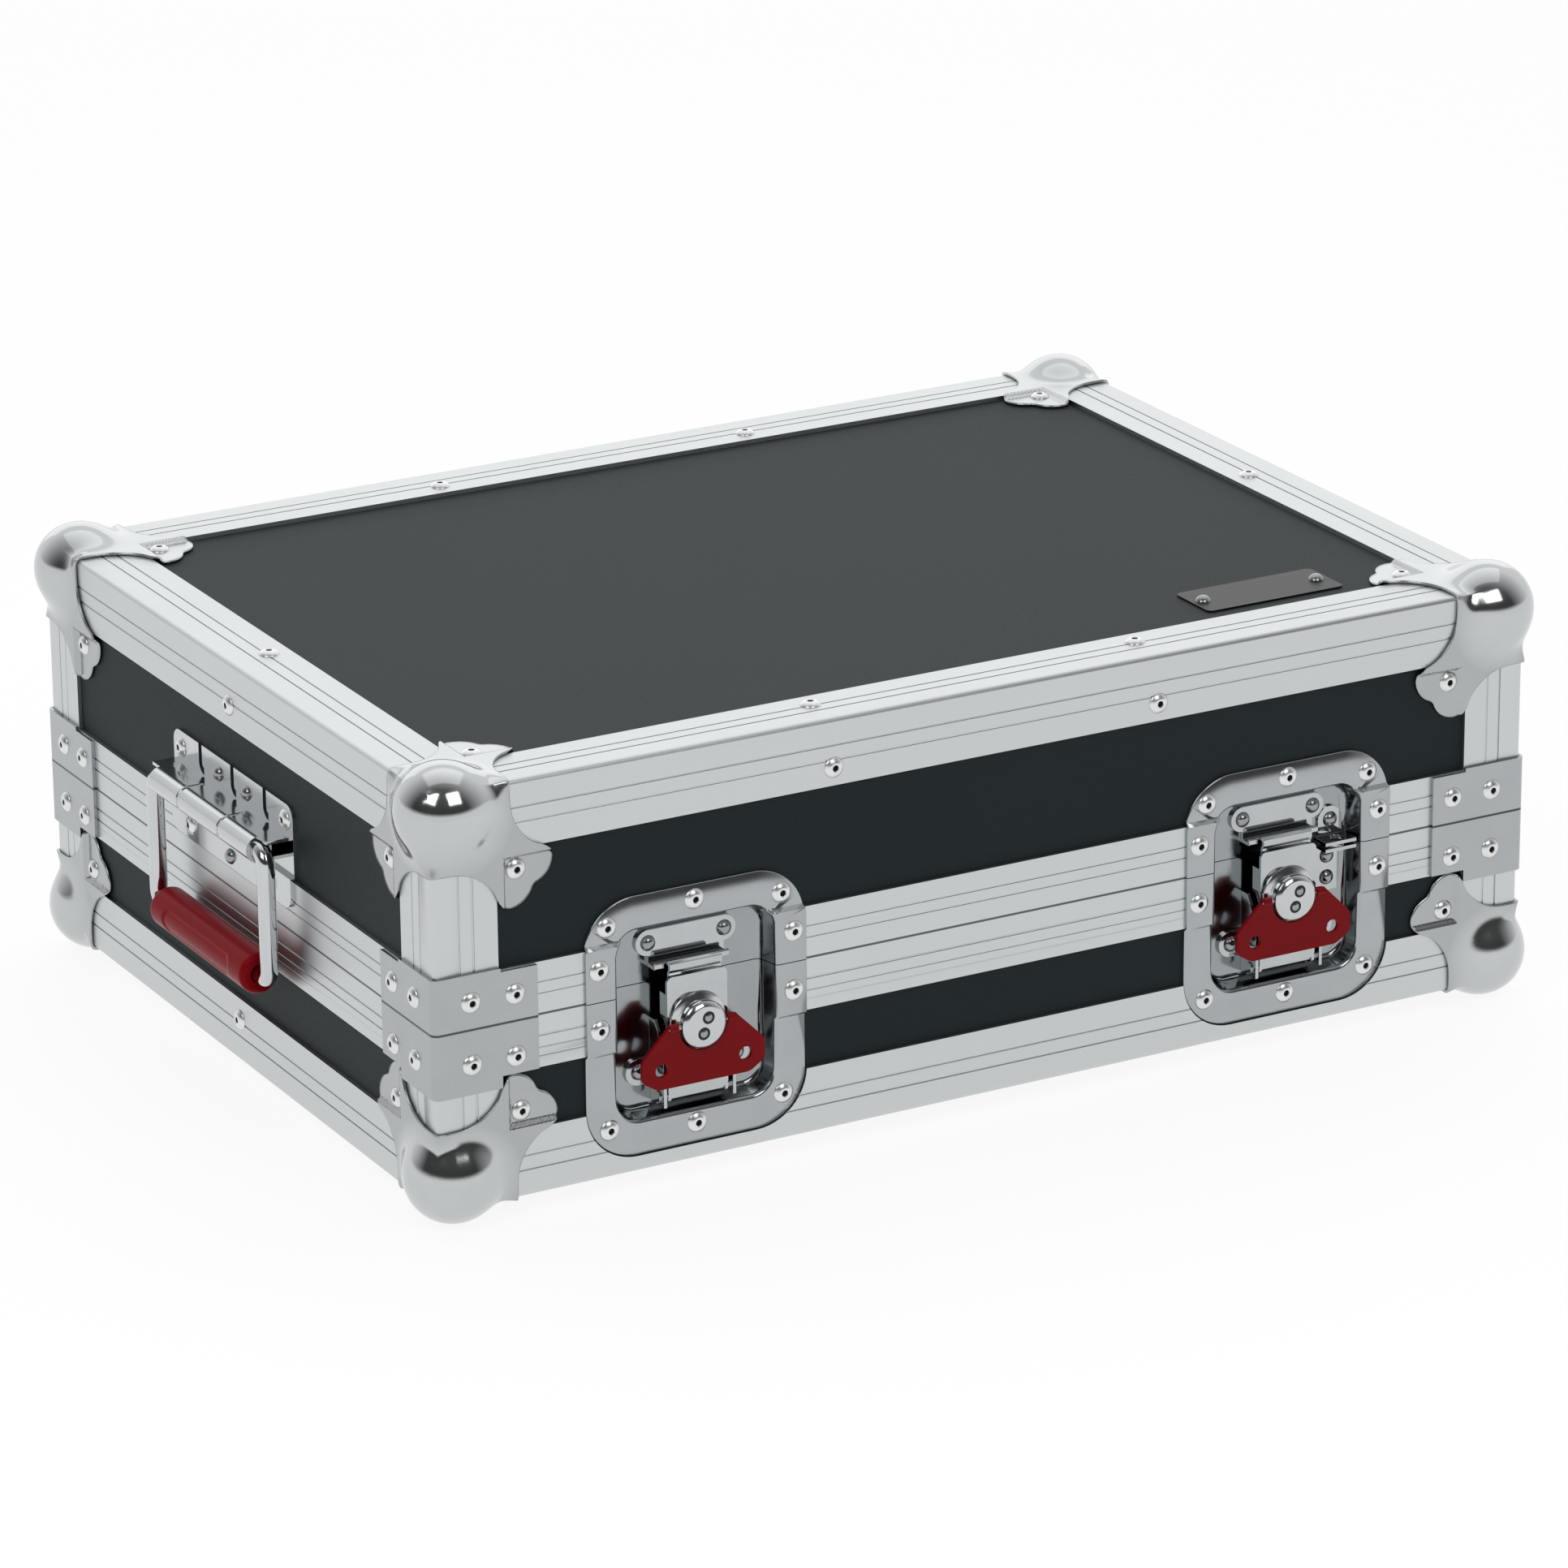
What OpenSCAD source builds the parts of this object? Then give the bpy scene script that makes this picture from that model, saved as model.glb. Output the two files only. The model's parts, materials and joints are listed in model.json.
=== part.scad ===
// Flight case: a lidded box of laminated panels in aluminium edge
// extrusions, with ball corners, seam clamps, two recessed butterfly
// latches, a padlock hasp, two side handles and a rear hinge.
// Origin: centre of the four lower ball corners' standing plane, +Z up.
// The latches are on the -Y face and the handles on the -X and +X faces.

/* [Case] */
// Length over the edge extrusions
case_l = 538; // [480:1:760]
// Width over the edge extrusions
case_w = 390; // [320:1:560]
// Height of the base over the extrusions, up to the seam
base_h = 80.5; // [78:0.5:150]
// Height of the lid over the extrusions, down to the seam
lid_h = 105; // [100:0.5:180]
// Thickness of the laminated panels
panel_t = 9; // [9:0.5:9.5]

/* [Extrusions] */
// Width of each leg of the edge extrusions
rail_leg = 30; // [28:0.5:30]
// Thickness of the legs
rail_t = 2; // [1.6:0.1:2]
// Height of the base's closing extrusion
base_band = 23.7; // [21:0.1:24]
// Height of the lid's closing extrusion
lid_band = 23.3; // [21:0.1:24]
// Height of the tongue that enters the lid
tongue_h = 4; // [2:0.5:4.5]

/* [Ball corners] */
// Radius of the ball
ball_r = 21; // [19:0.5:23]
// How far the ball's centre lies inside each face
ball_in = 12; // [11:0.5:13]
// Thickness of pressed steel sheet on the case
sheet_t = 1.5; // [1:0.1:1.5]

/* [Latches] */
// Distance of each latch from the middle of the case
latch_x = 147; // [100:1:170]
// Width of the recess in the latch dish
dish_open_w = 75; // [74:0.5:78]
// Travel of the hook
hook_travel = 7; // [5:0.5:7.5]

/* [Handles] */
// Diameter of the handle's bent rod
rod_d = 8; // [6:0.5:8]
// Diameter of the grip
grip_d = 18.6; // [14:0.2:20]
// Drop of the grip below the hinge barrel
bail_drop = 58; // [50:1:60]

/* [Interior] */
// Thickness of the foam walls
foam_t = 14; // [8:1:20]
// Rows of compartments from left to right
compartments_x = 6; // [2:1:8]
// Rows of compartments from front to back
compartments_y = 4; // [2:1:5]

/* [Hidden] */
$fn = 48;

// Colours
alu = "#c9cdce";
steel = "#b9bec0";
black = "#2b3031";
foam_grey = "#3a3c3e";
red = "#8a1319";

// The case's outer faces and levels
hl = case_l / 2;
hw = case_w / 2;
z0 = ball_r - ball_in;
z_seam = z0 + base_h;
z1 = z_seam + lid_h;
inner = rail_t + panel_t;   // depth of the panels' inner faces
kerf = 0.05;                // half the gap at a mitre
eps = 0.01;
slip = 0.05;                // radial clearance of a shaft or a rivet
air = 0.3;                  // gap between parts that pass each other

// Closing extrusions, as depths from the outer face
web_t = 2;
inner_leg_t = 1.2;
inner_leg_h = 10;
tongue_in = 5;
tongue_t = 1.5;
groove_in = 3.4;
groove_out = 9.2;
groove_gap = 1.2;           // free height above the tongue

// Ball corner flanges, as distances from the two edges of a face
flange_edge = 36;           // reach along the case's edge
flange_tip = 56;            // reach of the two tips
hollow_r = 24.5;            // hollow curve from the edge to a tip
hollow_at = 7.6;
lobe_r = 11.4;              // round lobes beside the rivet
lobe_at = 35.6;
lobe_far = 44.6;
crank_at = rail_leg + 2.8;  // the flange steps down onto the panel here
ball_rivet = 39;

// Seam clamps
clamp_l = 47;
clamp_t = 1.7;
clamp_step = 30;
clamp_lid_tall = 24.5;
clamp_base_tall = 28.9;
clamp_rivets = [16, 36.5];

// Rivets
rivet_head_r = 4.75;
rivet_head_h = 2.2;
rivet_r = 2;
rivet_hole_r = 1.1;
dome_head_r = 3.6;
dome_head_h = 2.4;
grip_panel = 5;             // shank length into a panel
rail_rivet_x = 80;
rail_rivet_in = 20;

// Latch dish, measured from the latch centre line and the seam
dish_w = 105;
dish_up = 43.5;
dish_down = 73.1;
dish_r = 24;
open_up = 27.8;
open_down = 57.5;
open_r = 11;
floor_t = 1.1;
floor_y = inner - floor_t;  // front face of the dish floor
pan_t = 1.2;
plate_y = floor_y - 1.5;    // front face of the plates riveted to the floor

// Rivets beside the latch as [across, up, sheet height]
dish_rivets_low = [[dish_w / 2 - 6.3, -12.7, sheet_t], [dish_w / 2 - 10.9, 13.8 - dish_down, -0.5]];
dish_rivets_high = [[dish_w / 2 - 6.3, 14, sheet_t], [dish_w / 2 - 11, dish_up - 11.8, -0.5]];

// Keeper
keeper_rivet_x = 18.1;
keeper_z = 17.8;
keeper_r = 5.8;
lip_w = 35.6;
lip_y = 3.2;                // front of the lip
lip_z = 6.9;                // underside of the lip

// Latch bracket, arm and their pin
ear_x = 17.3;
ear_t = 1.5;
bracket_z = -39.5;
bracket_rivet_x = 23.5;
bracket_r = 6;
pin_y = 2.4;
pin_z = -49.5;
pin_r = 2.5;
arm_x = 14.3;
arm_t = 1.4;
arm_y = -1;                 // front face of the arm
arm_top = 4.3;
arm_side_top = -3.5;

// Hook
hook_w = 24.8;
hook_t = 1.5;
hook_y = 0.7;
hook_top = 10.6;
hook_nose_y = lip_y - air;
crank_r = hook_travel / 2;
crank_pin_r = 1.5;
crank_lag = 0.25 * crank_r; // the crank leads and lags the even slide by this

// Hub and wing
hub_z = -17.1;
hub_r = 10.6;
hub_face_y = -8.9;
ring_r = 13.3;
ring_y = -2.9;
spindle_r = 5.4;
wing_t = 1.8;
wing_y = -6.2;              // front face of the wing
fold_y = wing_y + wing_t / 2;
fold_pin_r = 1;
eye_r = 1.7;
eye_x0 = 11.8;
eye_x1 = 16;
notch_r = 11.6;

// Hasp beside the right latch
hasp_x = 27.3;
leaf_x = 25.9;
tab_r = 6.2;
hasp_ear_w = 16;
ear_hole_r = 3.5;
ear_hole_y = 3.2;
hasp_ear_t = 1.6;

// Hinges
hinge_w = 70;
knuckles = 5;
knuckle_r = 4.2;
hinge_pin_r = 2;
hinge_axis = knuckle_r + 0.4;   // distance behind the back face
leaf_t = 1.6;
leaf_h = 17.4;
leaf_gap = knuckle_r + 0.4;
hinge_rivet_z = 13.5;

// Handles, as heights above the seam and distances outside the end face
plate_w = 121.4;
plate_top = 57;
plate_bottom = 10.5;
plate_r = 6;
handle_rivets_top = [53, 49.4];
handle_rivets_low = [41, 17.5];
handle_domes = [14.3, 49.1];
handle_dome_low = 15.9;
barrel_out = 11;
barrel_z = 37.2;
barrel_r = 6;
barrel_w = 101;
shelf_w = 117;
bail_w = 114;
bail_bend = 6;
grip_l = 96;
grip_round = 2.4;
slot_pitch = 32.8;
slot_w = 3.4;

// Badge on the lid
badge_at = [case_l / 2 - 102.7, 55.5 - case_w / 2];
badge_w = 70.5;
badge_h = 28.5;
badge_t = 0.8;
badge_rivet = 29.4;

// Foam
pad_t = 12;
foam_clear = 0.2;
divider_t = 8;
divider_h = 44;
foam_x = case_l - 2 * (inner + foam_clear);
foam_y = case_w - 2 * (inner + foam_clear);
well_x = foam_x - 2 * foam_t;
well_y = foam_y - 2 * foam_t;
pad_top = z0 + inner + foam_clear + pad_t;

// ---------- where the rivets are ----------
// Each site is [face, across, up, height of the sheet, shank length, style]
// and style 0 is a rivet with an open centre, 1 a plain dome.
function corner_sites(z, cap) = concat(
    [for (f = ["front", "back"], s = [-1, 1]) [f, s * (hl - ball_rivet), z, -0.5, grip_panel, 0]],
    [for (f = ["left", "right"], s = [-1, 1]) [f, s * (hw - ball_rivet), z, -0.5, grip_panel, 0]],
    [for (s = [-1, 1], t = [-1, 1])
        [cap, s * (hl - ball_rivet), t * (hw - ball_rivet), -0.5, grip_panel, 0]]
);
function clamp_sites(z) = concat(
    [for (f = ["front", "back"], s = [-1, 1], c = clamp_rivets)
        [f, s * (hl - c), z, clamp_t, grip_panel, 0]],
    [for (f = ["left", "right"], s = [-1, 1], c = clamp_rivets)
        [f, s * (hw - c), z, clamp_t, grip_panel, 0]]
);
function cap_sites(cap) = concat(
    [for (s = [-1, 1], t = [-1, 1]) [cap, s * rail_rivet_x, t * (hw - rail_rivet_in), 0, grip_panel, 0]],
    [for (s = [-1, 1]) [cap, s * (hl - rail_rivet_in), 0, 0, grip_panel, 0]]
);
function end_sites(z) = [for (f = ["left", "right"]) [f, 0, z, 0, grip_panel, 0]];
function hinge_sites(z) = [for (s = [-1, 1], i = [-1, 0, 1])
    ["back", s * latch_x + i * 25, z, leaf_t, grip_panel, 0]];

base_sites = concat(
    corner_sites(z0 + ball_rivet, "bottom"),
    clamp_sites(z_seam - 15.8),
    cap_sites("bottom"),
    end_sites(z0 + rail_rivet_in),
    hinge_sites(z_seam - hinge_rivet_z),
    [for (s = [-1, 1], p = dish_rivets_low, t = [-1, 1])
        ["front", s * latch_x + t * p[0], z_seam + p[1], p[2], grip_panel, 0]],
    [for (s = [-1, 1]) ["front", s * latch_x, z_seam - dish_down + 9, -0.5, grip_panel, 0]],
    [for (s = [-1, 1], t = [-1, 1])
        ["front", s * latch_x + t * bracket_rivet_x, z_seam + bracket_z, -plate_y, 2.6, 1]],
    [for (z = [-7.1, -17.3]) ["front", latch_x + leaf_x, z_seam + z, -plate_y, 2.6, 1]]
);
lid_sites = concat(
    corner_sites(z1 - ball_rivet, "top"),
    clamp_sites(z_seam + 12),
    cap_sites("top"),
    end_sites(z1 - rail_rivet_in),
    hinge_sites(z_seam + hinge_rivet_z),
    [for (f = ["front", "back"], s = [-1, 1]) [f, s * rail_rivet_x, z1 - 22, 0, grip_panel, 0]],
    [for (s = [-1, 1], p = dish_rivets_high, t = [-1, 1])
        ["front", s * latch_x + t * p[0], z_seam + p[1], p[2], grip_panel, 0]],
    [for (s = [-1, 1]) ["front", s * latch_x, z_seam + dish_up - 6.7, -0.5, grip_panel, 0]],
    [for (s = [-1, 1], t = [-1, 1])
        ["front", s * latch_x + t * keeper_rivet_x, z_seam + keeper_z, -plate_y, 2.6, 1]],
    [["front", latch_x + hasp_x, z_seam + 9.7, -plate_y, 2.6, 1]],
    [for (f = ["left", "right"], t = [-1, 1])
        [f, t * handle_rivets_top[0], z_seam + handle_rivets_top[1], -0.5, grip_panel, 0]],
    [for (f = ["left", "right"], t = [-1, 1])
        [f, t * handle_rivets_low[0], z_seam + handle_rivets_low[1], sheet_t, grip_panel, 0]],
    [for (f = ["left", "right"], t = [-1, 1])
        [f, t * handle_domes[0], z_seam + handle_domes[1], -0.5, grip_panel, 1]],
    [for (f = ["left", "right"]) [f, 0, z_seam + handle_dome_low, sheet_t, grip_panel, 1]],
    [for (t = [-1, 1]) ["top", badge_at[0] + t * badge_rivet, badge_at[1], badge_t - rail_t, grip_panel, 1]]
);

// Puts a child on a face, its +Z pointing out of the case
module on_face(face, a, b, out) {
    if (face == "front") translate([a, -hw - out, b]) rotate([90, 0, 0]) children();
    if (face == "back") translate([a, hw + out, b]) rotate([-90, 0, 0]) children();
    if (face == "left") translate([-hl - out, a, b]) rotate([0, -90, 0]) children();
    if (face == "right") translate([hl + out, a, b]) rotate([0, 90, 0]) children();
    if (face == "top") translate([a, b, z1 + out]) children();
    if (face == "bottom") translate([a, b, z0 - out]) rotate([180, 0, 0]) children();
}

// Holes for the shanks of the rivets on the named faces
module bores(sites, faces) {
    for (s = sites, f = faces) if (f == s[0])
        on_face(s[0], s[1], s[2], s[3])
            translate([0, 0, -s[4] - slip]) cylinder(r = rivet_r + slip, h = s[4] + 2 * slip);
}

// ---------- helpers ----------
module rounded(w, h, r) {
    square([w - 2 * r, h], center = true);
    square([w, h - 2 * r], center = true);
    for (i = [-1, 1], j = [-1, 1]) translate([i * (w / 2 - r), j * (h / 2 - r)]) circle(r);
}

// Extrudes an X-Z outline between two depths in Y
module slab(ya, yb) {
    translate([0, yb, 0]) rotate([90, 0, 0]) linear_extrude(yb - ya) children();
}

// Extrudes a Y-Z outline between two places in X
module along_x(xa, xb) {
    translate([xa, 0, 0]) rotate([90, 0, 90]) linear_extrude(xb - xa) children();
}

// A cylinder along X
module rod_x(r, xa, xb) {
    translate([xa, 0, 0]) rotate([0, 90, 0]) cylinder(r = r, h = xb - xa);
}

// A cylinder along Y
module rod_y(r, ya, yb) {
    translate([0, ya, 0]) rotate([-90, 0, 0]) cylinder(r = r, h = yb - ya);
}

module four_corners() {
    for (i = [0, 1], j = [0, 1]) mirror([i, 0, 0]) mirror([0, j, 0])
        translate([-hl, -hw, 0]) children();
}

// ---------- extrusions ----------
groove_w = 0.8;
groove_d = 0.4;

// Angle profile with its outer corner at the origin and two fine grooves a leg
module angle_profile() {
    difference() {
        union() {
            translate([rail_t, 0]) square([rail_leg - rail_t, rail_t]);
            translate([0, rail_t]) square([rail_t, rail_leg - rail_t]);
            intersection() {
                translate([rail_t, rail_t]) circle(rail_t);
                square(rail_t);
            }
        }
        for (g = [0.4, 0.62]) {
            translate([g * rail_leg, 0]) square([groove_w, groove_d * 2], center = true);
            translate([0, g * rail_leg]) square([groove_d * 2, groove_w], center = true);
        }
    }
}

// Cuts away what lies beyond the plane z = x + kerf, and the same for y
module mitre_cut() {
    far = rail_leg + 4;
    translate([0, far, -kerf]) rotate([90, 0, 0]) linear_extrude(2 * far)
        polygon([[-far, -far], [far, -far], [far, far + 2 * kerf], [-far, -far + 2 * kerf]]);
    translate([-far, 0, -kerf]) rotate([90, 0, 90]) linear_extrude(2 * far)
        polygon([[-far, -far], [far, -far], [far, far + 2 * kerf], [-far, -far + 2 * kerf]]);
}

// An angle extrusion standing on the origin, mitred at its foot and,
// if asked, at its head
module angle_bar(len, both) {
    difference() {
        linear_extrude(len) angle_profile();
        mitre_cut();
        if (both) translate([0, 0, len]) mirror([0, 0, 1]) mitre_cut();
    }
}

module long_rails() {
    for (i = [0, 1]) mirror([0, i, 0])
        translate([-hl, -hw, 0]) rotate([90, 0, 90]) angle_bar(case_l, true);
}

module end_rails() {
    for (i = [0, 1]) mirror([i, 0, 0])
        translate([-hl, -hw, 0]) mirror([1, -1, 0]) rotate([90, 0, 90]) angle_bar(case_w, true);
}

module corner_posts(len) {
    four_corners() angle_bar(len, false);
}

// One length of a closing extrusion; its profile is drawn as depth and height
module frame_bar(len) {
    difference() {
        translate([-len / 2, 0, 0]) rotate([90, 0, 90]) linear_extrude(len) children();
        for (i = [0, 1]) mirror([i, 0, 0]) translate([-len / 2, 0, -case_w / 2])
            linear_extrude(case_w) polygon([[-1, 0], [kerf, 0], [20 + kerf, 20], [-1, 20]]);
    }
}

module closing_frame() {
    for (i = [0, 1]) mirror([0, i, 0]) translate([0, -hw, z_seam]) frame_bar(case_l) children();
    for (i = [0, 1]) mirror([i, 0, 0]) translate([-hl, 0, z_seam]) rotate([0, 0, -90])
        frame_bar(case_w) children();
}

module band_grooves(h, s) {
    for (g = [0.4, 0.62]) translate([0, s * g * h]) square([2 * groove_d, groove_w], center = true);
}

module tongue_profile() {
    difference() {
        translate([0, -base_band]) square([rail_t, base_band]);
        band_grooves(base_band, -1);
    }
    translate([0, -web_t]) square([inner + inner_leg_t, web_t]);
    translate([inner, -inner_leg_h]) square([inner_leg_t, inner_leg_h]);
    translate([tongue_in, -eps]) square([tongue_t, tongue_h + eps]);
}

module groove_profile() {
    difference() {
        square([rail_t, lid_band]);
        band_grooves(lid_band, 1);
    }
    difference() {
        square([inner + inner_leg_t, tongue_h + groove_gap + web_t]);
        translate([groove_in, -eps]) square([groove_out - groove_in, tongue_h + groove_gap + eps]);
    }
    translate([inner, 0]) square([inner_leg_t, inner_leg_h + web_t]);
}

// ---------- latch dish outlines, centred on a latch at the seam ----------
module dish_outline(grow) {
    translate([0, (dish_up - dish_down) / 2])
        rounded(dish_w + 2 * grow, dish_up + dish_down + 2 * grow, dish_r + grow);
}

module dish_opening(grow) {
    translate([0, (open_up - open_down) / 2])
        rounded(dish_open_w + 2 * grow, open_up + open_down + 2 * grow, open_r + grow);
}

module at_latch(s) {
    translate([s * latch_x, -hw, z_seam]) children();
}

// What the front face loses to the latch dishes
module dish_cutouts() {
    for (s = [-1, 1]) at_latch(s) {
        slab(-1, inner + inner_leg_t + 1) dish_opening(pan_t + 0.1);
    }
}

module flange_cutouts() {
    for (s = [-1, 1]) at_latch(s) slab(-1, rail_leg + 1) dish_outline(0.4);
}

// ---------- base ----------
wall_top = -web_t - eps * 2;

module base_bottom_panel() {
    color(black) difference() {
        translate([-hl + rail_t, -hw + rail_t, z0 + rail_t])
            cube([case_l - 2 * rail_t, case_w - 2 * rail_t, panel_t]);
        bores(base_sites, ["bottom"]);
    }
}

module wall_x(y0, za, zb) {
    translate([-hl + rail_t, y0, za]) cube([case_l - 2 * rail_t, panel_t, zb - za]);
}

module wall_y(x0, za, zb) {
    translate([x0, -hw + inner, za]) cube([panel_t, case_w - 2 * inner, zb - za]);
}

module base_front_panel() {
    color(black) difference() {
        wall_x(-hw + rail_t, z0 + inner, z_seam + wall_top);
        dish_cutouts();
        bores(base_sites, ["front"]);
    }
}

module base_back_panel() {
    color(black) difference() {
        wall_x(hw - inner, z0 + inner, z_seam + wall_top);
        bores(base_sites, ["back"]);
    }
}

module base_end_panels() {
    color(black) difference() {
        for (x = [-hl + rail_t, hl - inner]) wall_y(x, z0 + inner, z_seam + wall_top);
        bores(base_sites, ["left", "right"]);
    }
}

module base_long_rails() {
    color(alu) difference() {
        translate([0, 0, z0]) long_rails();
        flange_cutouts();
        bores(base_sites, ["bottom"]);
    }
}

module base_end_rails() {
    color(alu) difference() {
        translate([0, 0, z0]) end_rails();
        bores(base_sites, ["bottom", "left", "right"]);
    }
}

module base_corner_posts() {
    color(alu) difference() {
        translate([0, 0, z0]) corner_posts(base_h - base_band - kerf);
        bores(base_sites, ["front", "back", "left", "right"]);
    }
}

module base_tongue_frame() {
    color(alu) difference() {
        closing_frame() tongue_profile();
        dish_cutouts();
        bores(base_sites, ["front", "back", "left", "right"]);
    }
}

// ---------- lid ----------
lid_wall_z = z_seam + tongue_h + groove_gap + web_t + eps * 2;

module lid_top_panel() {
    color(black) difference() {
        translate([-hl + rail_t, -hw + rail_t, z1 - inner])
            cube([case_l - 2 * rail_t, case_w - 2 * rail_t, panel_t]);
        bores(lid_sites, ["top"]);
    }
}

module lid_front_panel() {
    color(black) difference() {
        wall_x(-hw + rail_t, lid_wall_z, z1 - inner);
        dish_cutouts();
        bores(lid_sites, ["front"]);
    }
}

module lid_back_panel() {
    color(black) difference() {
        wall_x(hw - inner, lid_wall_z, z1 - inner);
        bores(lid_sites, ["back"]);
    }
}

module lid_end_panels() {
    color(black) difference() {
        for (x = [-hl + rail_t, hl - inner]) wall_y(x, lid_wall_z, z1 - inner);
        bores(lid_sites, ["left", "right"]);
    }
}

module lid_long_rails() {
    color(alu) difference() {
        translate([0, 0, z1]) mirror([0, 0, 1]) long_rails();
        bores(lid_sites, ["top", "front", "back"]);
    }
}

module lid_end_rails() {
    color(alu) difference() {
        translate([0, 0, z1]) mirror([0, 0, 1]) end_rails();
        bores(lid_sites, ["top", "left", "right"]);
    }
}

module lid_corner_posts() {
    color(alu) difference() {
        translate([0, 0, z1]) mirror([0, 0, 1]) corner_posts(lid_h - lid_band - kerf);
        bores(lid_sites, ["front", "back", "left", "right"]);
    }
}

module lid_groove_frame() {
    color(alu) difference() {
        closing_frame() groove_profile();
        dish_cutouts();
        bores(lid_sites, ["front", "back", "left", "right"]);
    }
}

// ---------- ball corners ----------
// Outline of one flange, as distances from the two edges of its face
module flange_outline() {
    difference() {
        union() {
            translate([-sheet_t, -sheet_t]) square([flange_tip + sheet_t, crank_at + sheet_t]);
            translate([-sheet_t, -sheet_t]) square([crank_at + sheet_t, flange_tip + sheet_t]);
            translate([lobe_far, lobe_at]) circle(lobe_r);
            translate([lobe_at, lobe_far]) circle(lobe_r);
        }
        translate([flange_edge + hollow_r, hollow_at]) circle(hollow_r);
        translate([hollow_at, flange_edge + hollow_r]) circle(hollow_r);
        translate([flange_edge + 1, -sheet_t - 1]) square([40, hollow_at + sheet_t + 1]);
        translate([-sheet_t - 1, flange_edge + 1]) square([hollow_at + sheet_t + 1, 40]);
    }
}

// One flange on the plane z = 0, its outer side at -Z, stepped onto the panel
module corner_flange() {
    far = flange_tip + 4;
    translate([0, 0, -sheet_t]) linear_extrude(sheet_t) difference() {
        flange_outline();
        translate([crank_at, crank_at]) square(far);
    }
    translate([0, 0, rail_t - sheet_t]) linear_extrude(sheet_t) intersection() {
        flange_outline();
        translate([crank_at - sheet_t, crank_at - sheet_t]) square(far);
    }
    translate([0, 0, -sheet_t]) linear_extrude(rail_t + sheet_t) intersection() {
        flange_outline();
        difference() {
            translate([crank_at - sheet_t, crank_at - sheet_t]) square(far);
            translate([crank_at, crank_at]) square(far);
        }
    }
}

// A corner piece for the corner at the origin, the case filling +X +Y +Z
module ball_corner() {
    difference() {
        translate([ball_in, ball_in, ball_in]) sphere(ball_r);
        cube(2 * ball_r);
    }
    corner_flange();
    mirror([1, 0, -1]) corner_flange();
    mirror([0, 1, -1]) corner_flange();
}

module base_ball_corners() {
    color(steel) difference() {
        translate([0, 0, z0]) four_corners() ball_corner();
        bores(base_sites, ["front", "back", "left", "right", "bottom"]);
    }
}

module lid_ball_corners() {
    color(steel) difference() {
        translate([0, 0, z1]) mirror([0, 0, 1]) four_corners() ball_corner();
        bores(lid_sites, ["front", "back", "left", "right", "top"]);
    }
}

// ---------- seam clamps ----------
// Angle outline wrapped round a vertical edge of the case
module clamp_outline(leg) {
    difference() {
        translate([-clamp_t, -clamp_t]) union() {
            translate([clamp_t * 2, 0]) square([leg - clamp_t, leg + clamp_t]);
            translate([0, clamp_t * 2]) square([leg + clamp_t, leg - clamp_t]);
            translate([clamp_t * 2, clamp_t * 2]) circle(clamp_t * 2);
        }
        square(leg + 1);
    }
}

module seam_clamp(tall, band) {
    linear_extrude(band) clamp_outline(clamp_l);
    linear_extrude(tall) clamp_outline(clamp_step);
}

module base_seam_clamps() {
    color(steel) difference() {
        translate([0, 0, z_seam]) mirror([0, 0, 1]) four_corners()
            seam_clamp(clamp_base_tall, base_band - 0.2);
        bores(base_sites, ["front", "back", "left", "right"]);
    }
}

module lid_seam_clamps() {
    color(steel) difference() {
        translate([0, 0, z_seam]) four_corners() seam_clamp(clamp_lid_tall, lid_band - 0.4);
        bores(lid_sites, ["front", "back", "left", "right"]);
    }
}

// ---------- rivets ----------
module cap(r, h) {
    curve = (r * r + h * h) / (2 * h);
    intersection() {
        translate([0, 0, h - curve]) sphere(curve);
        cylinder(r = r, h = h);
    }
}

module rivet(shank, style) {
    difference() {
        union() {
            cap(style == 0 ? rivet_head_r : dome_head_r, style == 0 ? rivet_head_h : dome_head_h);
            translate([0, 0, -shank]) cylinder(r = rivet_r, h = shank + 0.4);
        }
        if (style == 0) translate([0, 0, rivet_head_h - 1.6]) cylinder(r = rivet_hole_r, h = 3);
    }
}

module rivets(sites) {
    for (s = sites) on_face(s[0], s[1], s[2], s[3]) rivet(s[4], s[5]);
}

module base_rivets() { color("#dfe2e3") rivets(base_sites); }
module lid_rivets() { color("#dfe2e3") rivets(lid_sites); }

// ---------- foam ----------
// Four foam strips round the well, the short ones cut between the long ones
module foam_ring(h) {
    for (s = [0, 1]) {
        mirror([0, s, 0]) translate([-foam_x / 2, well_y / 2, 0]) cube([foam_x, foam_t, h]);
        mirror([s, 0, 0]) translate([well_x / 2, -well_y / 2 + foam_clear, 0])
            cube([foam_t, well_y - 2 * foam_clear, h]);
    }
}

module base_foam_floor() {
    color(foam_grey) translate([-foam_x / 2, -foam_y / 2, z0 + inner + foam_clear])
        cube([foam_x, foam_y, pad_t]);
}

module base_foam_walls() {
    color(foam_grey) translate([0, 0, pad_top + foam_clear])
        foam_ring(z_seam - inner_leg_h - foam_clear - pad_top - foam_clear);
}

pocket_x = (well_x - (compartments_x - 1) * divider_t) / compartments_x;
pocket_y = (well_y - (compartments_y - 1) * divider_t) / compartments_y;
divider_z = pad_top + foam_clear;
half_lap = divider_h / 2;

// Where divider number n starts, left to right and front to back
function column(n) = -well_x / 2 + n * (pocket_x + divider_t) - divider_t;
function row(n) = -well_y / 2 + n * (pocket_y + divider_t) - divider_t;

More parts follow.
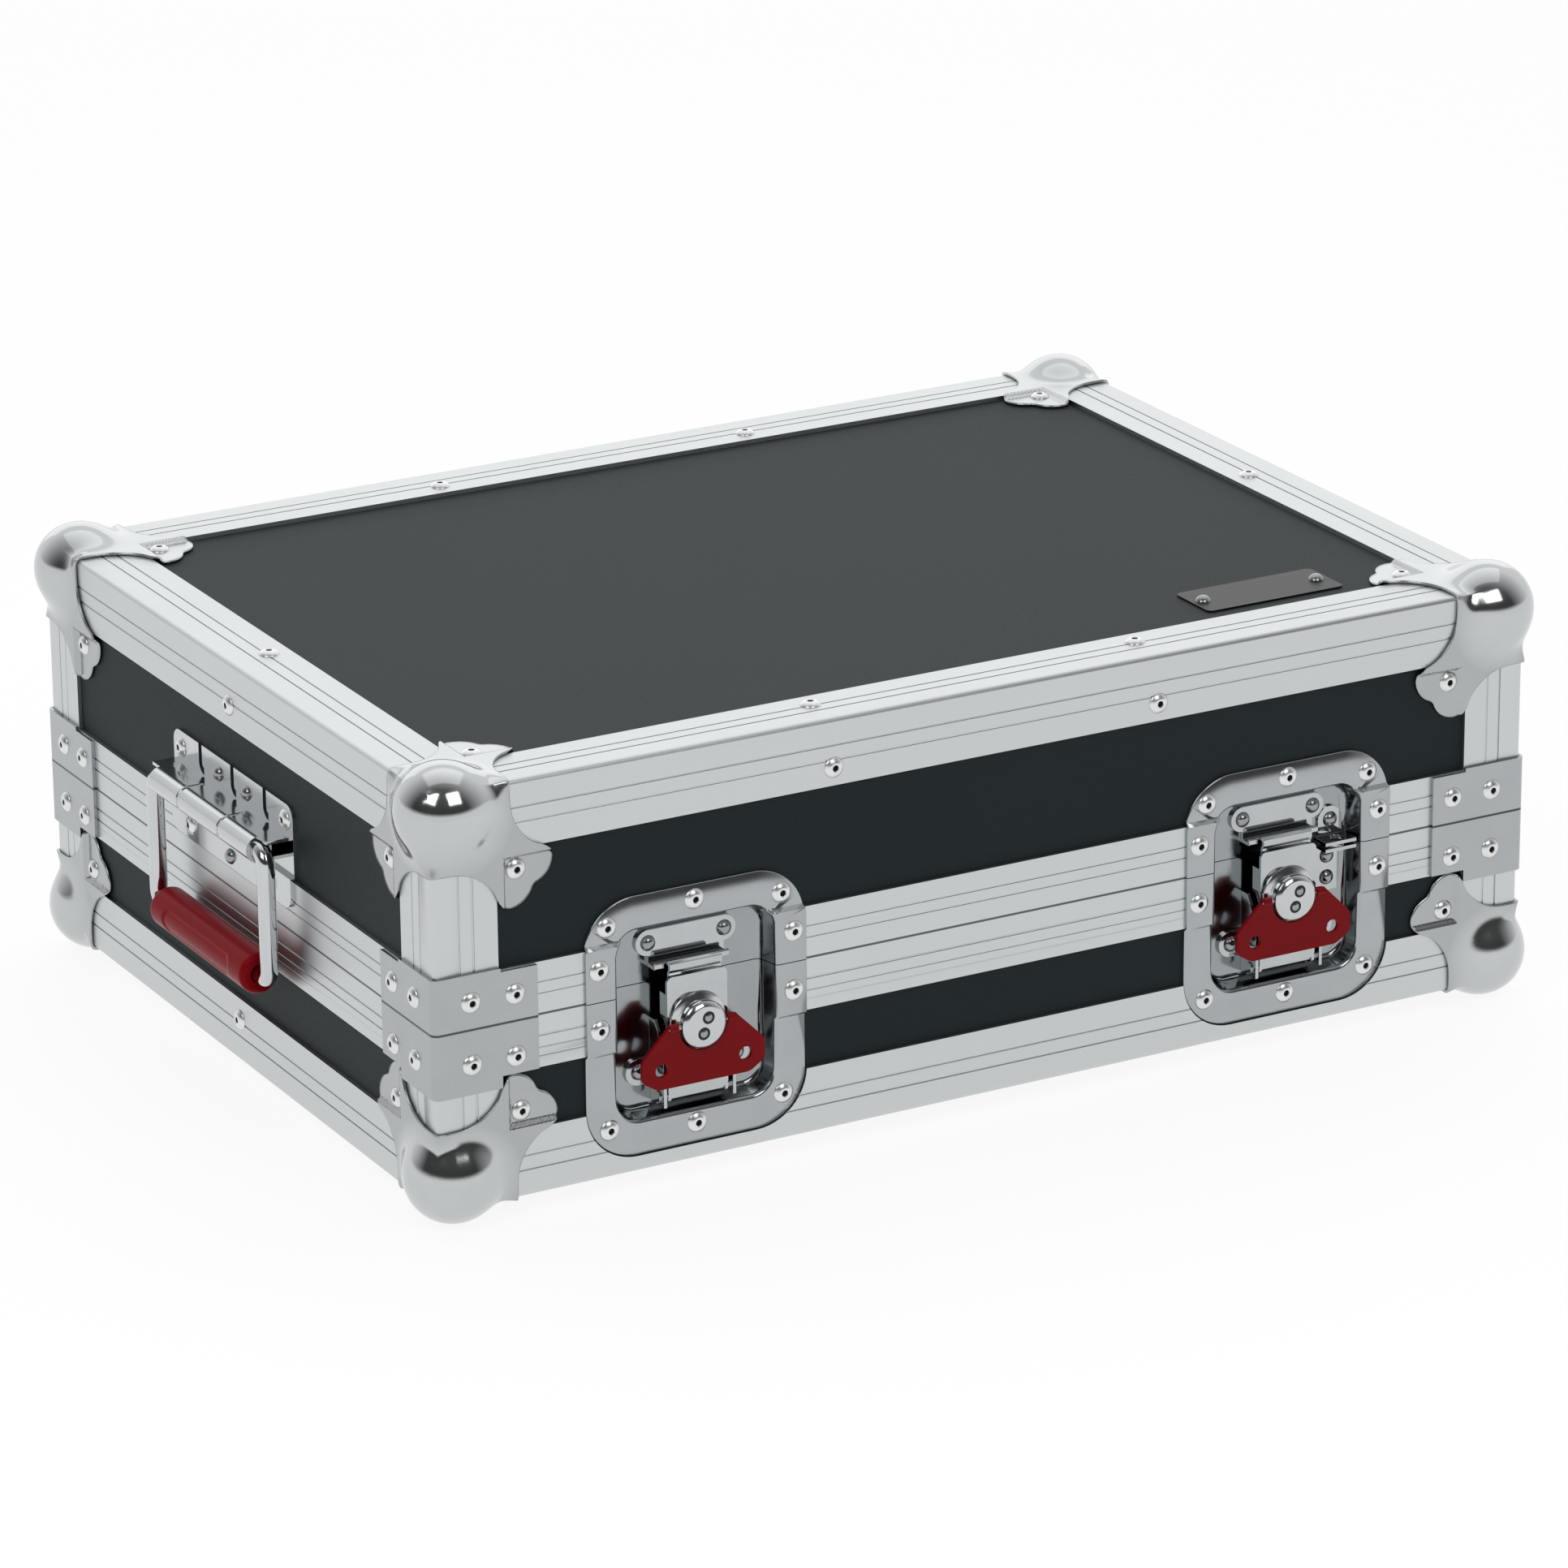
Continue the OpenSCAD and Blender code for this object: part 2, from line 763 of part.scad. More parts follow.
// Dividers running left to right, slotted from above
module dividers_long() {
    color(foam_grey) difference() {
        for (j = [1:compartments_y - 1])
            translate([-well_x / 2 + foam_clear, row(j), divider_z])
                cube([well_x - 2 * foam_clear, divider_t, divider_h]);
        for (i = [1:compartments_x - 1])
            translate([column(i) - foam_clear, -well_y / 2, divider_z + half_lap])
                cube([divider_t + 2 * foam_clear, well_y, half_lap + 1]);
    }
}

// Dividers running front to back, slotted from below
module dividers_cross() {
    color(foam_grey) difference() {
        for (i = [1:compartments_x - 1])
            translate([column(i), -well_y / 2 + foam_clear, divider_z])
                cube([divider_t, well_y - 2 * foam_clear, divider_h]);
        for (j = [1:compartments_y - 1])
            translate([-well_x / 2, row(j) - foam_clear, divider_z - 1])
                cube([well_x, divider_t + 2 * foam_clear, half_lap + foam_clear + 1]);
    }
}

module lid_foam_pad() {
    color(foam_grey) translate([-foam_x / 2, -foam_y / 2, z1 - inner - foam_clear - pad_t])
        cube([foam_x, foam_y, pad_t]);
}

module lid_foam_walls() {
    lid_foam_z = z_seam + inner_leg_h + web_t + foam_clear;
    color(foam_grey) translate([0, 0, lid_foam_z])
        foam_ring(z1 - inner - 2 * foam_clear - pad_t - lid_foam_z);
}

// ---------- badge ----------
module badge_plate() {
    color("#1d2022") difference() {
        translate([badge_at[0], badge_at[1], z1 - rail_t]) linear_extrude(badge_t)
            rounded(badge_w, badge_h, 3);
        bores(lid_sites, ["top"]);
    }
}

// ---------- hinges ----------
// A leaf for a hinge whose pin lies on the origin; s is -1 below, 1 above
module hinge_leaf(s) {
    step = hinge_w / knuckles;
    own = s < 0 ? 0 : 1;
    mirror([0, 0, s < 0 ? 1 : 0]) {
        translate([-hinge_w / 2, -hinge_axis, leaf_gap]) cube([hinge_w, leaf_t, leaf_h]);
        for (k = [own:2:knuckles - 1]) translate([-hinge_w / 2 + k * step + 0.15, 0, 0]) difference() {
            union() {
                translate([0, -hinge_axis, 0]) cube([step - 0.3, leaf_t, leaf_gap + eps]);
                rod_x(knuckle_r, 0, step - 0.3);
            }
            rod_x(hinge_pin_r + slip, -1, step + 1);
        }
    }
}

module at_hinges() {
    for (s = [-1, 1]) translate([s * latch_x, hw + hinge_axis, z_seam]) children();
}

module hinge_leaves_base() {
    color(steel) difference() {
        at_hinges() hinge_leaf(-1);
        bores(base_sites, ["back"]);
    }
}

module hinge_leaves_lid() {
    color(steel) difference() {
        at_hinges() hinge_leaf(1);
        bores(lid_sites, ["back"]);
    }
}

module hinge_pins() {
    color(steel) at_hinges() rod_x(hinge_pin_r, -hinge_w / 2, hinge_w / 2);
}

// ---------- latch dishes ----------
// Half of a dish; s is -1 for the base's half and 1 for the lid's
module dish_half(s) {
    far = dish_w;
    band = s < 0 ? base_band : lid_band;
    intersection() {
        union() {
            difference() {
                union() {
                    slab(-sheet_t, 0) intersection() {
                        dish_outline(0);
                        translate([-far / 2, s < 0 ? -band : 0]) square([far, band]);
                    }
                    slab(-sheet_t, rail_t) intersection() {
                        dish_outline(0);
                        translate([-far / 2, s < 0 ? -band - sheet_t : band + 0.1])
                            square([far, sheet_t - 0.1]);
                    }
                    slab(rail_t - sheet_t, rail_t) intersection() {
                        dish_outline(0);
                        translate([-far / 2, s < 0 ? -band - far : band + 0.1]) square([far, far - 0.1]);
                    }
                }
                slab(-5, 5) dish_opening(0);
            }
            difference() {
                slab(-sheet_t, inner) dish_opening(pan_t);
                slab(-sheet_t - 1, floor_y) dish_opening(0);
                difference() {
                    slab(-sheet_t - 1, rail_t - sheet_t) dish_opening(pan_t + 1);
                    translate([-far / 2, -5, -base_band - sheet_t])
                        cube([far, 10, base_band + lid_band + 2 * sheet_t]);
                }
            }
        }
        translate([-far / 2, -5, s < 0 ? -2 * far : 0]) cube([far, 40, 2 * far]);
    }
}

module dish_lower(s) {
    color(steel) difference() {
        at_latch(s) dish_half(-1);
        bores(base_sites, ["front"]);
    }
}

module dish_upper(s) {
    color(steel) difference() {
        at_latch(s) dish_half(1);
        bores(lid_sites, ["front"]);
    }
}

module latch_dish_lower_left() { dish_lower(-1); }
module latch_dish_lower_right() { dish_lower(1); }
module latch_dish_upper_left() { dish_upper(-1); }
module latch_dish_upper_right() { dish_upper(1); }

// ---------- keeper ----------
// A riveted plate whose lower edge curls out into the lip that the hook holds
module keeper(s) {
    curl_r = 1.5;
    color(steel) difference() {
        at_latch(s) {
            slab(plate_y, floor_y) union() {
                for (t = [-1, 1]) translate([t * keeper_rivet_x, keeper_z]) circle(keeper_r);
                translate([-keeper_rivet_x, lip_z + curl_r])
                    square([2 * keeper_rivet_x, keeper_z + keeper_r - lip_z - curl_r]);
            }
            along_x(-lip_w / 2, lip_w / 2) {
                translate([lip_y + curl_r, lip_z]) square([floor_y - lip_y - curl_r, curl_r]);
                translate([lip_y + curl_r / 2, lip_z + curl_r / 2]) circle(curl_r / 2);
                translate([lip_y + curl_r / 2, lip_z]) square([curl_r, curl_r]);
                translate([lip_y, lip_z + curl_r / 2]) square([curl_r, curl_r]);
                translate([lip_y + curl_r / 2, lip_z + curl_r * 1.5]) circle(curl_r / 2);
            }
        }
        bores(lid_sites, ["front"]);
    }
}

module latch_keeper_left() { keeper(-1); }
module latch_keeper_right() { keeper(1); }

// ---------- latch bracket ----------
module bracket(s) {
    color(steel) difference() {
        at_latch(s) {
            slab(plate_y, floor_y) union() {
                for (t = [-1, 1]) translate([t * bracket_rivet_x, bracket_z]) circle(bracket_r);
                square_w = 2 * bracket_rivet_x;
                translate([-square_w / 2, bracket_z - bracket_r]) square([square_w, 2 * bracket_r]);
                translate([-ear_x, pin_z - 4]) square([2 * ear_x, 20]);
            }
            for (t = [-1, 1]) mirror([t < 0 ? 1 : 0, 0, 0]) difference() {
                along_x(ear_x - ear_t, ear_x) polygon([
                    [floor_y, pin_z - 4], [-2.5, pin_z - 4], [-2.5, pin_z + 15], [1.5, pin_z + 27.5],
                    [5.5, pin_z + 33.5], [floor_y, pin_z + 33.5]
                ]);
                translate([0, pin_y, pin_z]) rod_x(pin_r, ear_x - ear_t - 1, ear_x + 1);
            }
        }
        bores(base_sites, ["front"]);
    }
}

module latch_bracket_left() { bracket(-1); }
module latch_bracket_right() { bracket(1); }

module pivot(s) {
    color(steel) at_latch(s) translate([0, pin_y, pin_z]) rod_x(pin_r, -ear_x - 0.8, ear_x + 0.8);
}

module latch_pin_left() { pivot(-1); }
module latch_pin_right() { pivot(1); }

// ---------- latch arm ----------
// A channel that swings on the pin; its front plate carries the hub and
// its tabs keep the hook against the plate
module arm(s) {
    color(steel) at_latch(s) difference() {
        union() {
            slab(arm_y, arm_y + arm_t) difference() {
                translate([0, (arm_top + pin_z) / 2]) rounded(2 * arm_x, arm_top - pin_z, 2.5);
                translate([0, hub_z]) circle(spindle_r + slip);
            }
            for (t = [-1, 1]) mirror([t < 0 ? 1 : 0, 0, 0]) {
                along_x(arm_x - arm_t, arm_x) {
                    translate([arm_y + arm_t - eps, pin_z]) square([6.6 - arm_t, arm_side_top - pin_z]);
                    translate([pin_y, pin_z]) circle(3.4);
                }
                for (z = [-9, -37]) translate([arm_x - arm_t - 4, hook_y + hook_t + air, z])
                    cube([4 + eps, 1.2, 5]);
            }
        }
        translate([0, pin_y, pin_z]) rod_x(pin_r + slip, -arm_x - 1, arm_x + 1);
    }
}

module latch_arm_left() { arm(-1); }
module latch_arm_right() { arm(1); }

// ---------- hook ----------
module hook(s) {
    step_z = 5.5;
    slot_h = 2 * (crank_pin_r + crank_lag + 0.25);
    slot_w_half = crank_r + crank_pin_r + air;
    color(steel) at_latch(s) {
        difference() {
            slab(hook_y, hook_y + hook_t) translate([-hook_w / 2, -38]) square([hook_w, step_z + 38]);
            translate([-slot_w_half, hook_y - 1, hub_z - crank_r - slot_h / 2])
                cube([2 * slot_w_half, hook_t + 2, slot_h]);
        }
        along_x(-hook_w / 2, hook_w / 2) {
            polygon([
                [hook_y, step_z - eps], [hook_y + hook_t, step_z - eps], [hook_y + hook_t - 1, step_z + 1.5],
                [hook_y + hook_t - 1, hook_top - 1.5], [hook_nose_y - 0.5, hook_top - 1.5],
                [hook_nose_y - 0.5, hook_top - 0.7],
                [hook_y, hook_top], [hook_y - 1, hook_top - 1], [hook_y - 1, step_z + 1.5]
            ]);
            translate([hook_nose_y - 0.75, hook_top - 0.75]) circle(0.75);
        }
    }
}

module latch_hook_left() { hook(-1); }
module latch_hook_right() { hook(1); }

// ---------- hub ----------
// Turns about Y; its crank pin moves the hook, and its two side pins carry the wing
module hub(s) {
    body_r = 9.6;
    face_r = 8.5;
    color("#cfd3d4") at_latch(s) translate([0, 0, hub_z]) {
        translate([0, hub_face_y, 0]) rotate([-90, 0, 0]) difference() {
            union() {
                rotate_extrude() polygon([
                    [0, 0], [face_r, 0], [hub_r, 1.4], [hub_r, 3], [body_r, 3],
                    [body_r, ring_y - hub_face_y], [ring_r, ring_y - hub_face_y],
                    [ring_r, arm_y - air - hub_face_y], [spindle_r, arm_y - air - hub_face_y],
                    [spindle_r, hook_y - 0.15 - hub_face_y], [0, hook_y - 0.15 - hub_face_y]
                ]);
                translate([0, crank_r, hook_y - 0.2 - hub_face_y])
                    cylinder(r = crank_pin_r, h = hook_t + 1.2);
            }
            for (t = [-1, 1]) rotate([0, 0, 18]) translate([0, t * 3.6, -1]) difference() {
                cylinder(r = 2.6, h = 1.5);
                cylinder(r = 1.9, h = 1.8);
            }
        }
        for (t = [-1, 1]) mirror([t < 0 ? 1 : 0, 0, 0])
            translate([0, fold_y, 0]) rod_x(fold_pin_r, body_r - 1, eye_x1 + 0.2);
    }
}

module latch_hub_left() { hub(-1); }
module latch_hub_right() { hub(1); }

// ---------- wing ----------
module wing_outline() {
    difference() {
        polygon([
            [-15.5, 1.9], [-29.3, -12], [-29.3, -21.4], [-22, -26],
            [22, -26], [29.3, -21.4], [29.3, -12], [15.5, 1.9]
        ]);
        circle(notch_r);
        translate([-notch_r, 0]) square([2 * notch_r, 5]);
        for (t = [-1, 1]) translate([t * 20, -17.4]) circle(3);
    }
}

module wing(s) {
    color(red) at_latch(s) translate([0, 0, hub_z]) difference() {
        union() {
            slab(wing_y, wing_y + wing_t) wing_outline();
            for (t = [-1, 1]) mirror([t < 0 ? 1 : 0, 0, 0])
                translate([0, fold_y, 0]) rod_x(eye_r, eye_x0, eye_x1);
        }
        translate([0, fold_y, 0]) rod_x(fold_pin_r + slip, -eye_x1 - 0.4, eye_x1 + 0.4);
    }
}

module latch_wing_left() { wing(-1); }
module latch_wing_right() { wing(1); }

// ---------- hasp ----------
// A level ear with the padlock's hole, its underside at height z
module hasp_ear(z) {
    translate([hasp_x, 0, z]) difference() {
        translate([-hasp_ear_w / 2, arm_y, 0]) cube([hasp_ear_w, floor_y - arm_y, hasp_ear_t]);
        translate([0, ear_hole_y, -1]) cylinder(r = ear_hole_r, h = hasp_ear_t + 2);
    }
}

module hasp_leaf_base() {
    color(steel) difference() {
        at_latch(1) {
            slab(plate_y, floor_y) translate([leaf_x - 5.5, -23.5]) square([11, 23.1]);
            hasp_ear(-0.4 - hasp_ear_t);
        }
        bores(base_sites, ["front"]);
    }
}

module hasp_tab_lid() {
    color(steel) difference() {
        at_latch(1) {
            slab(plate_y, floor_y) translate([hasp_x, 0]) {
                translate([0, 9.7]) circle(tab_r);
                translate([-tab_r, 1]) square([2 * tab_r, 8.7]);
            }
            hasp_ear(1);
        }
        bores(lid_sites, ["front"]);
    }
}

// ---------- handles, drawn on the -X face and mirrored for +X ----------
module j_slot() {
    reach = 8;
    translate([0, plate_top - 4]) square([slot_w, reach + 1], center = true);
    difference() {
        translate([-3.6, plate_top - reach]) circle(3.6 + slot_w / 2);
        translate([-3.6, plate_top - reach]) circle(3.6 - slot_w / 2);
        translate([-12, plate_top - reach]) square([20, 20]);
        translate([-20, plate_top - 20]) square([16.4, 20]);
    }
}

// Extrudes a Y-Z outline from depth da to depth db behind the -X face
module end_slab(da, db) {
    along_x(-hl + da, -hl + db) translate([0, z_seam]) children();
}

module plate_band(za, zb) {
    intersection() {
        translate([0, (plate_top + plate_bottom) / 2])
            rounded(plate_w, plate_top - plate_bottom, plate_r);
        translate([-plate_w / 2, za]) square([plate_w, zb - za]);
    }
}

module handle_plate() {
    crank = lid_band + 0.1;
    color(steel) difference() {
        union() {
            end_slab(rail_t - sheet_t, rail_t) difference() {
                plate_band(crank, plate_top);
                for (i = [-1:1]) translate([i * slot_pitch, 0]) j_slot();
            }
            end_slab(-sheet_t, rail_t) plate_band(crank, crank + sheet_t);
            end_slab(-sheet_t, 0) plate_band(plate_bottom, crank + eps);
            translate([-hl - barrel_out, 0, z_seam + barrel_z]) {
                translate([0, -shelf_w / 2, barrel_r - sheet_t])
                    cube([barrel_out + rail_t - sheet_t + eps, shelf_w, sheet_t]);
                translate([0, -barrel_w / 2, -barrel_r])
                    cube([barrel_out + rail_t - sheet_t + eps, barrel_w, sheet_t]);
                rod_y(barrel_r, -barrel_w / 2, barrel_w / 2);
            }
        }
        translate([-hl - barrel_out, 0, z_seam + barrel_z])
            rod_y(rod_d / 2 + slip, -barrel_w, barrel_w);
        bores(lid_sites, ["left"]);
    }
}

// The bent rod: a closed loop through the barrel and the grip
module bail() {
    half = bail_w / 2;
    color("#d5d8d9") translate([-hl - barrel_out, 0, z_seam + barrel_z]) {
        for (z = [0, -bail_drop]) translate([0, 0, z]) rod_y(rod_d / 2, -half + bail_bend, half - bail_bend);
        for (t = [-1, 1]) {
            translate([0, t * half, -bail_drop + bail_bend])
                cylinder(r = rod_d / 2, h = bail_drop - 2 * bail_bend);
            mirror([0, t < 0 ? 1 : 0, 0]) {
                bend([0, half - bail_bend, -bail_bend], 0);
                bend([0, half - bail_bend, -bail_drop + bail_bend], -90);
            }
        }
    }
}

// A quarter bend of the rod in the Y-Z plane about a centre
module bend(at, turn) {
    translate(at) rotate([turn, 0, 0]) rotate([90, 0, 90])
        rotate_extrude(angle = 90) translate([bail_bend, 0]) circle(rod_d / 2);
}

module grip() {
    r = grip_d / 2;
    color(red) translate([-hl - barrel_out, -grip_l / 2, z_seam + barrel_z - bail_drop])
        rotate([-90, 0, 0]) rotate_extrude() {
            bore = rod_d / 2 + slip;
            translate([bore, grip_round]) square([r - bore, grip_l - 2 * grip_round]);
            translate([bore, 0]) square([r - grip_round - bore, grip_l]);
            for (y = [grip_round, grip_l - grip_round]) translate([r - grip_round, y]) circle(grip_round);
        }
}

module handle_plate_left() { handle_plate(); }
module handle_plate_right() { mirror([1, 0, 0]) handle_plate(); }
module bail_left() { bail(); }
module bail_right() { mirror([1, 0, 0]) bail(); }
module grip_left() { grip(); }
module grip_right() { mirror([1, 0, 0]) grip(); }

// ---------- one line a node ----------
base_bottom_panel();
base_front_panel();
base_back_panel();
base_end_panels();
base_long_rails();
base_end_rails();
base_corner_posts();
base_tongue_frame();
base_ball_corners();
base_seam_clamps();
base_rivets();
base_foam_floor();
base_foam_walls();
dividers_long();
dividers_cross();
lid_top_panel();
lid_front_panel();
lid_back_panel();
lid_end_panels();
lid_long_rails();
lid_end_rails();
lid_corner_posts();
lid_groove_frame();
lid_ball_corners();
lid_seam_clamps();
lid_rivets();
lid_foam_pad();
lid_foam_walls();
badge_plate();
hinge_leaves_base();
hinge_leaves_lid();
hinge_pins();
latch_dish_lower_left();
latch_dish_lower_right();
latch_dish_upper_left();
latch_dish_upper_right();
latch_keeper_left();
latch_keeper_right();
latch_bracket_left();
latch_bracket_right();
latch_pin_left();
latch_pin_right();
latch_arm_left();
latch_arm_right();
latch_hook_left();
latch_hook_right();
latch_hub_left();
latch_hub_right();
latch_wing_left();
latch_wing_right();
hasp_leaf_base();
hasp_tab_lid();
handle_plate_left();
handle_plate_right();
bail_left();
bail_right();
grip_left();
grip_right();
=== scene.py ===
import json
import math
import bmesh
import bpy
from mathutils import Matrix, Vector


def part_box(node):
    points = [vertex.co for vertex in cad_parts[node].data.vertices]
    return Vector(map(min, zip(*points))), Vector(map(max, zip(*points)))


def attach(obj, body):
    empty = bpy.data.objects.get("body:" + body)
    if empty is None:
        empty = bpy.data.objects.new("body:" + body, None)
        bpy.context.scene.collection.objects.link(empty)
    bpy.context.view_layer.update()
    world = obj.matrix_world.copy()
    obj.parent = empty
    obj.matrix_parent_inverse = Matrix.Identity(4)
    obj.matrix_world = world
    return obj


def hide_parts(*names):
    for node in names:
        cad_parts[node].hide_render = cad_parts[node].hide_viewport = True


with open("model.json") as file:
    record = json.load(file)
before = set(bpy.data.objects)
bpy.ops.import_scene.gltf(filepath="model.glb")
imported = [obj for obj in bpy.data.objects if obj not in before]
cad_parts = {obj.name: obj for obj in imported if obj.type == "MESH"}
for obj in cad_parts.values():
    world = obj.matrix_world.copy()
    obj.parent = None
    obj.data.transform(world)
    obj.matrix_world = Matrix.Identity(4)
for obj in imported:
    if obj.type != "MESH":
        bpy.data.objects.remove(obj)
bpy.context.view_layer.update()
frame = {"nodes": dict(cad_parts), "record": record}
nodes = frame["nodes"]

# ---------- camera and studio ----------
# A long lens from the front left and a little above, on a plain white floor
# that runs into a white backdrop. Two square soft boxes stand either side of
# the camera in a dim room, with wide ones overhead and behind.
azimuth, elevation, roll = (math.radians(a) for a in (-28.782, 20.082, -0.528))
level_share = math.cos(elevation)
back = Vector((math.sin(azimuth) * level_share, -math.cos(azimuth) * level_share, math.sin(elevation)))
right = (-back).cross(Vector((0, 0, 1))).normalized()
up = right.cross(-back)
turned = (math.cos(roll) * right + math.sin(roll) * up, math.cos(roll) * up - math.sin(roll) * right, back)
lens = bpy.data.cameras.new("camera")
lens.lens, lens.sensor_width = 167.3683, 36
lens.clip_start, lens.clip_end = 0.05, 60
camera = bpy.data.objects.new("camera", lens)
camera.matrix_world = Matrix.Translation((-1.4828, -2.7049, 1.2165)) @ Matrix(turned).transposed().to_4x4()
bpy.context.collection.objects.link(camera)
bpy.context.scene.camera = camera
bpy.context.scene.view_settings.view_transform = "Standard"


class Wire:
    """A value in a finish's node tree. Arithmetic on it adds Math nodes."""

    def __init__(self, finish, socket):
        self.finish, self.socket = finish, socket

    def maths(self, operation, *values):
        return self.finish.add("ShaderNodeMath", {"operation": operation}, dict(enumerate(values)))

    def __add__(self, other):
        return self.maths("ADD", self, other)

    def __sub__(self, other):
        return self.maths("SUBTRACT", self, other)

    def __rsub__(self, other):
        return self.maths("SUBTRACT", other, self)

    def __mul__(self, other):
        return self.maths("MULTIPLY", self, other)

    def __truediv__(self, other):
        return self.maths("DIVIDE", self, other)

    def __abs__(self):
        return self.maths("ABSOLUTE", self)

    __radd__, __rmul__ = __add__, __mul__

    def near(self, middle, half_width):
        """1 at the middle value, falling to 0 at half_width from it."""
        return self.maths("MAXIMUM", 1 - abs(self - middle) / half_width, 0)

    def between(self, low, high):
        """0 at low, 1 at high, clamped."""
        return self.finish.add("ShaderNodeMapRange", {}, {"Value": self, "From Min": low, "From Max": high})

    def at_least(self, other):
        return self.maths("MAXIMUM", self, other)


class Finish:
    """A surface material: one Principled shader, and the nodes that vary it."""

    def __init__(self, name, **constants):
        self.material = bpy.data.materials.new(name)
        self.material.use_nodes = True
        self.tree = self.material.node_tree
        self.shader = self.tree.nodes["Principled BSDF"]
        self.put(**constants)

    def add(self, kind, settings=None, sockets=None, output=0):
        node = self.tree.nodes.new(kind)
        for key, value in (settings or {}).items():
            if key == "stops":
                for stop, (place, colour) in zip(node.color_ramp.elements, value):
                    stop.position, stop.color = place, (*colour, 1)
            else:
                setattr(node, key, value)
        self.feed(node, sockets or {})
        return Wire(self, node.outputs[output])

    def feed(self, node, sockets):
        for key, value in sockets.items():
            if isinstance(value, Wire):
                self.tree.links.new(value.socket, node.inputs[key])
            elif isinstance(value, tuple) and len(value) == 3 and node.inputs[key].type == "RGBA":
                node.inputs[key].default_value = (*value, 1)
            else:
                node.inputs[key].default_value = value

    def put(self, **sockets):
        self.feed(self.shader, {key.replace("_", " "): value for key, value in sockets.items()})

    def place(self):
        return self.add("ShaderNodeTexCoord", output=3)

    def split(self, vector):
        parts = self.add("ShaderNodeSeparateXYZ", {}, {0: vector})
        return [Wire(self, out) for out in parts.socket.node.outputs]

    def axes(self):
        return self.split(self.place())

    def rays(self):
        """Values that are 1 for the camera's rays, for mirrored rays and for rays through glass."""
        path = self.add("ShaderNodeLightPath").socket.node
        return [Wire(self, path.outputs[f"Is {kind} Ray"]) for kind in ("Camera", "Glossy", "Transmission")]

    def length(self, x, y, z):
        """The length of the vector from the origin to x, y, z."""
        arrow = self.add("ShaderNodeCombineXYZ", {}, {0: x, 1: y, 2: z})
        return self.add("ShaderNodeVectorMath", {"operation": "LENGTH"}, {0: arrow}, output=1)

    def grain(self, size, detail=2.0, stretch=(1, 1, 1), rough=0.5):
        """Cloudy noise of about one size in metres, stretched along an axis where a factor is below 1."""
        scale = tuple(factor / size for factor in stretch)
        spread = self.add("ShaderNodeMapping", {}, {"Vector": self.place(), "Scale": scale})
        noise = {"Vector": spread, "Scale": 1.0, "Detail": detail, "Roughness": rough}
        return self.add("ShaderNodeTexNoise", {}, noise)

    def blend(self, amount, first, second):
        mix = self.add("ShaderNodeMix", {"data_type": "RGBA"}, {"Factor": amount}, output=2)
        self.feed(mix.socket.node, {6: first, 7: second})
        return mix

    def bump(self, height, depth):
        """Relief: depth in metres where height is 1."""
        relief = self.add("ShaderNodeBump", {}, {"Height": height, "Distance": depth, "Strength": 1.0})
        self.put(Normal=relief)

    def give(self, *names):
        for name in names:
            skin = nodes[name].data
            skin.materials.clear()
            skin.materials.append(self.material)


studio = Finish("studio_white", Base_Color=(0.86, 0.86, 0.86), Roughness=0.9)
floor_glow, glow_share = 1.08, 0.80
camera_ray, mirror_ray, glass_ray = studio.rays()
seen = camera_ray.at_least(mirror_ray).at_least(glass_ray)
glow = studio.add("ShaderNodeEmission", {}, {"Color": (1, 1, 1), "Strength": floor_glow})
plain = Wire(studio, studio.shader.outputs[0])
lit = studio.add("ShaderNodeMixShader", {}, {0: seen * glow_share, 1: plain, 2: glow})
studio.tree.links.new(lit.socket, studio.tree.nodes["Material Output"].inputs[0])
ground = bmesh.new()
bmesh.ops.create_circle(ground, cap_ends=True, segments=96, radius=9)
floor_mesh = bpy.data.meshes.new("floor")
ground.to_mesh(floor_mesh)
ground.free()
floor_mesh.materials.append(studio.material)
floor = bpy.data.objects.new("floor", floor_mesh)
bpy.context.collection.objects.link(floor)


class Air(Finish):
    """The world's background, built of the same nodes as a finish."""

    def __init__(self, world):
        world.use_nodes = True
        self.tree = world.node_tree
        self.shader = self.tree.nodes["Background"]


world = bpy.data.worlds.new("studio")
bpy.context.scene.world = world
air = Air(world)
east, north, height = air.split(air.add("ShaderNodeTexCoord"))
camera_ray, mirror_ray, glass_ray = air.rays()
# The room is dim in front and bright behind; mirrored rays near the horizon meet the white backdrop.
behind = (north * 0.8 + east * 0.5).between(-0.35, 0.55)
room = 0.035 + 0.90 * behind + 0.10 * height
backdrop = mirror_ray.at_least(glass_ray) * height.between(0.18, 0.04)
air.put(Color=(1, 1, 1), Strength=room.at_least(camera_ray).at_least(backdrop))


def soft_box(name, where, aim, wide, tall, glare):
    """A rectangular soft light facing a point; glare is how bright its face looks, where 1 is white."""
    light = bpy.data.lights.new(name, "AREA")
    light.shape, light.size, light.size_y = "RECTANGLE", wide, tall
    light.energy = glare * math.pi * wide * tall
    lamp = bpy.data.objects.new(name, light)
    turn = (Vector(where) - Vector(aim)).to_track_quat("Z", "Y")
    lamp.matrix_world = Matrix.Translation(where) @ turn.to_matrix().to_4x4()
    lamp.visible_camera = False
    bpy.context.collection.objects.link(lamp)


middle = (0, 0, 0.1)
soft_box("overhead_box", (0.2, 0.5, 2.6), middle, 3.0, 2.2, 0.35)
soft_box("left_box", (-1.75, -1.0, 1.85), middle, 1.25, 1.25, 2.4)
soft_box("front_box", (0.08, -2.0, 1.85), middle, 1.25, 1.25, 2.4)
soft_box("back_box", (1.4, 3.4, 1.5), middle, 5.0, 2.2, 0.40)

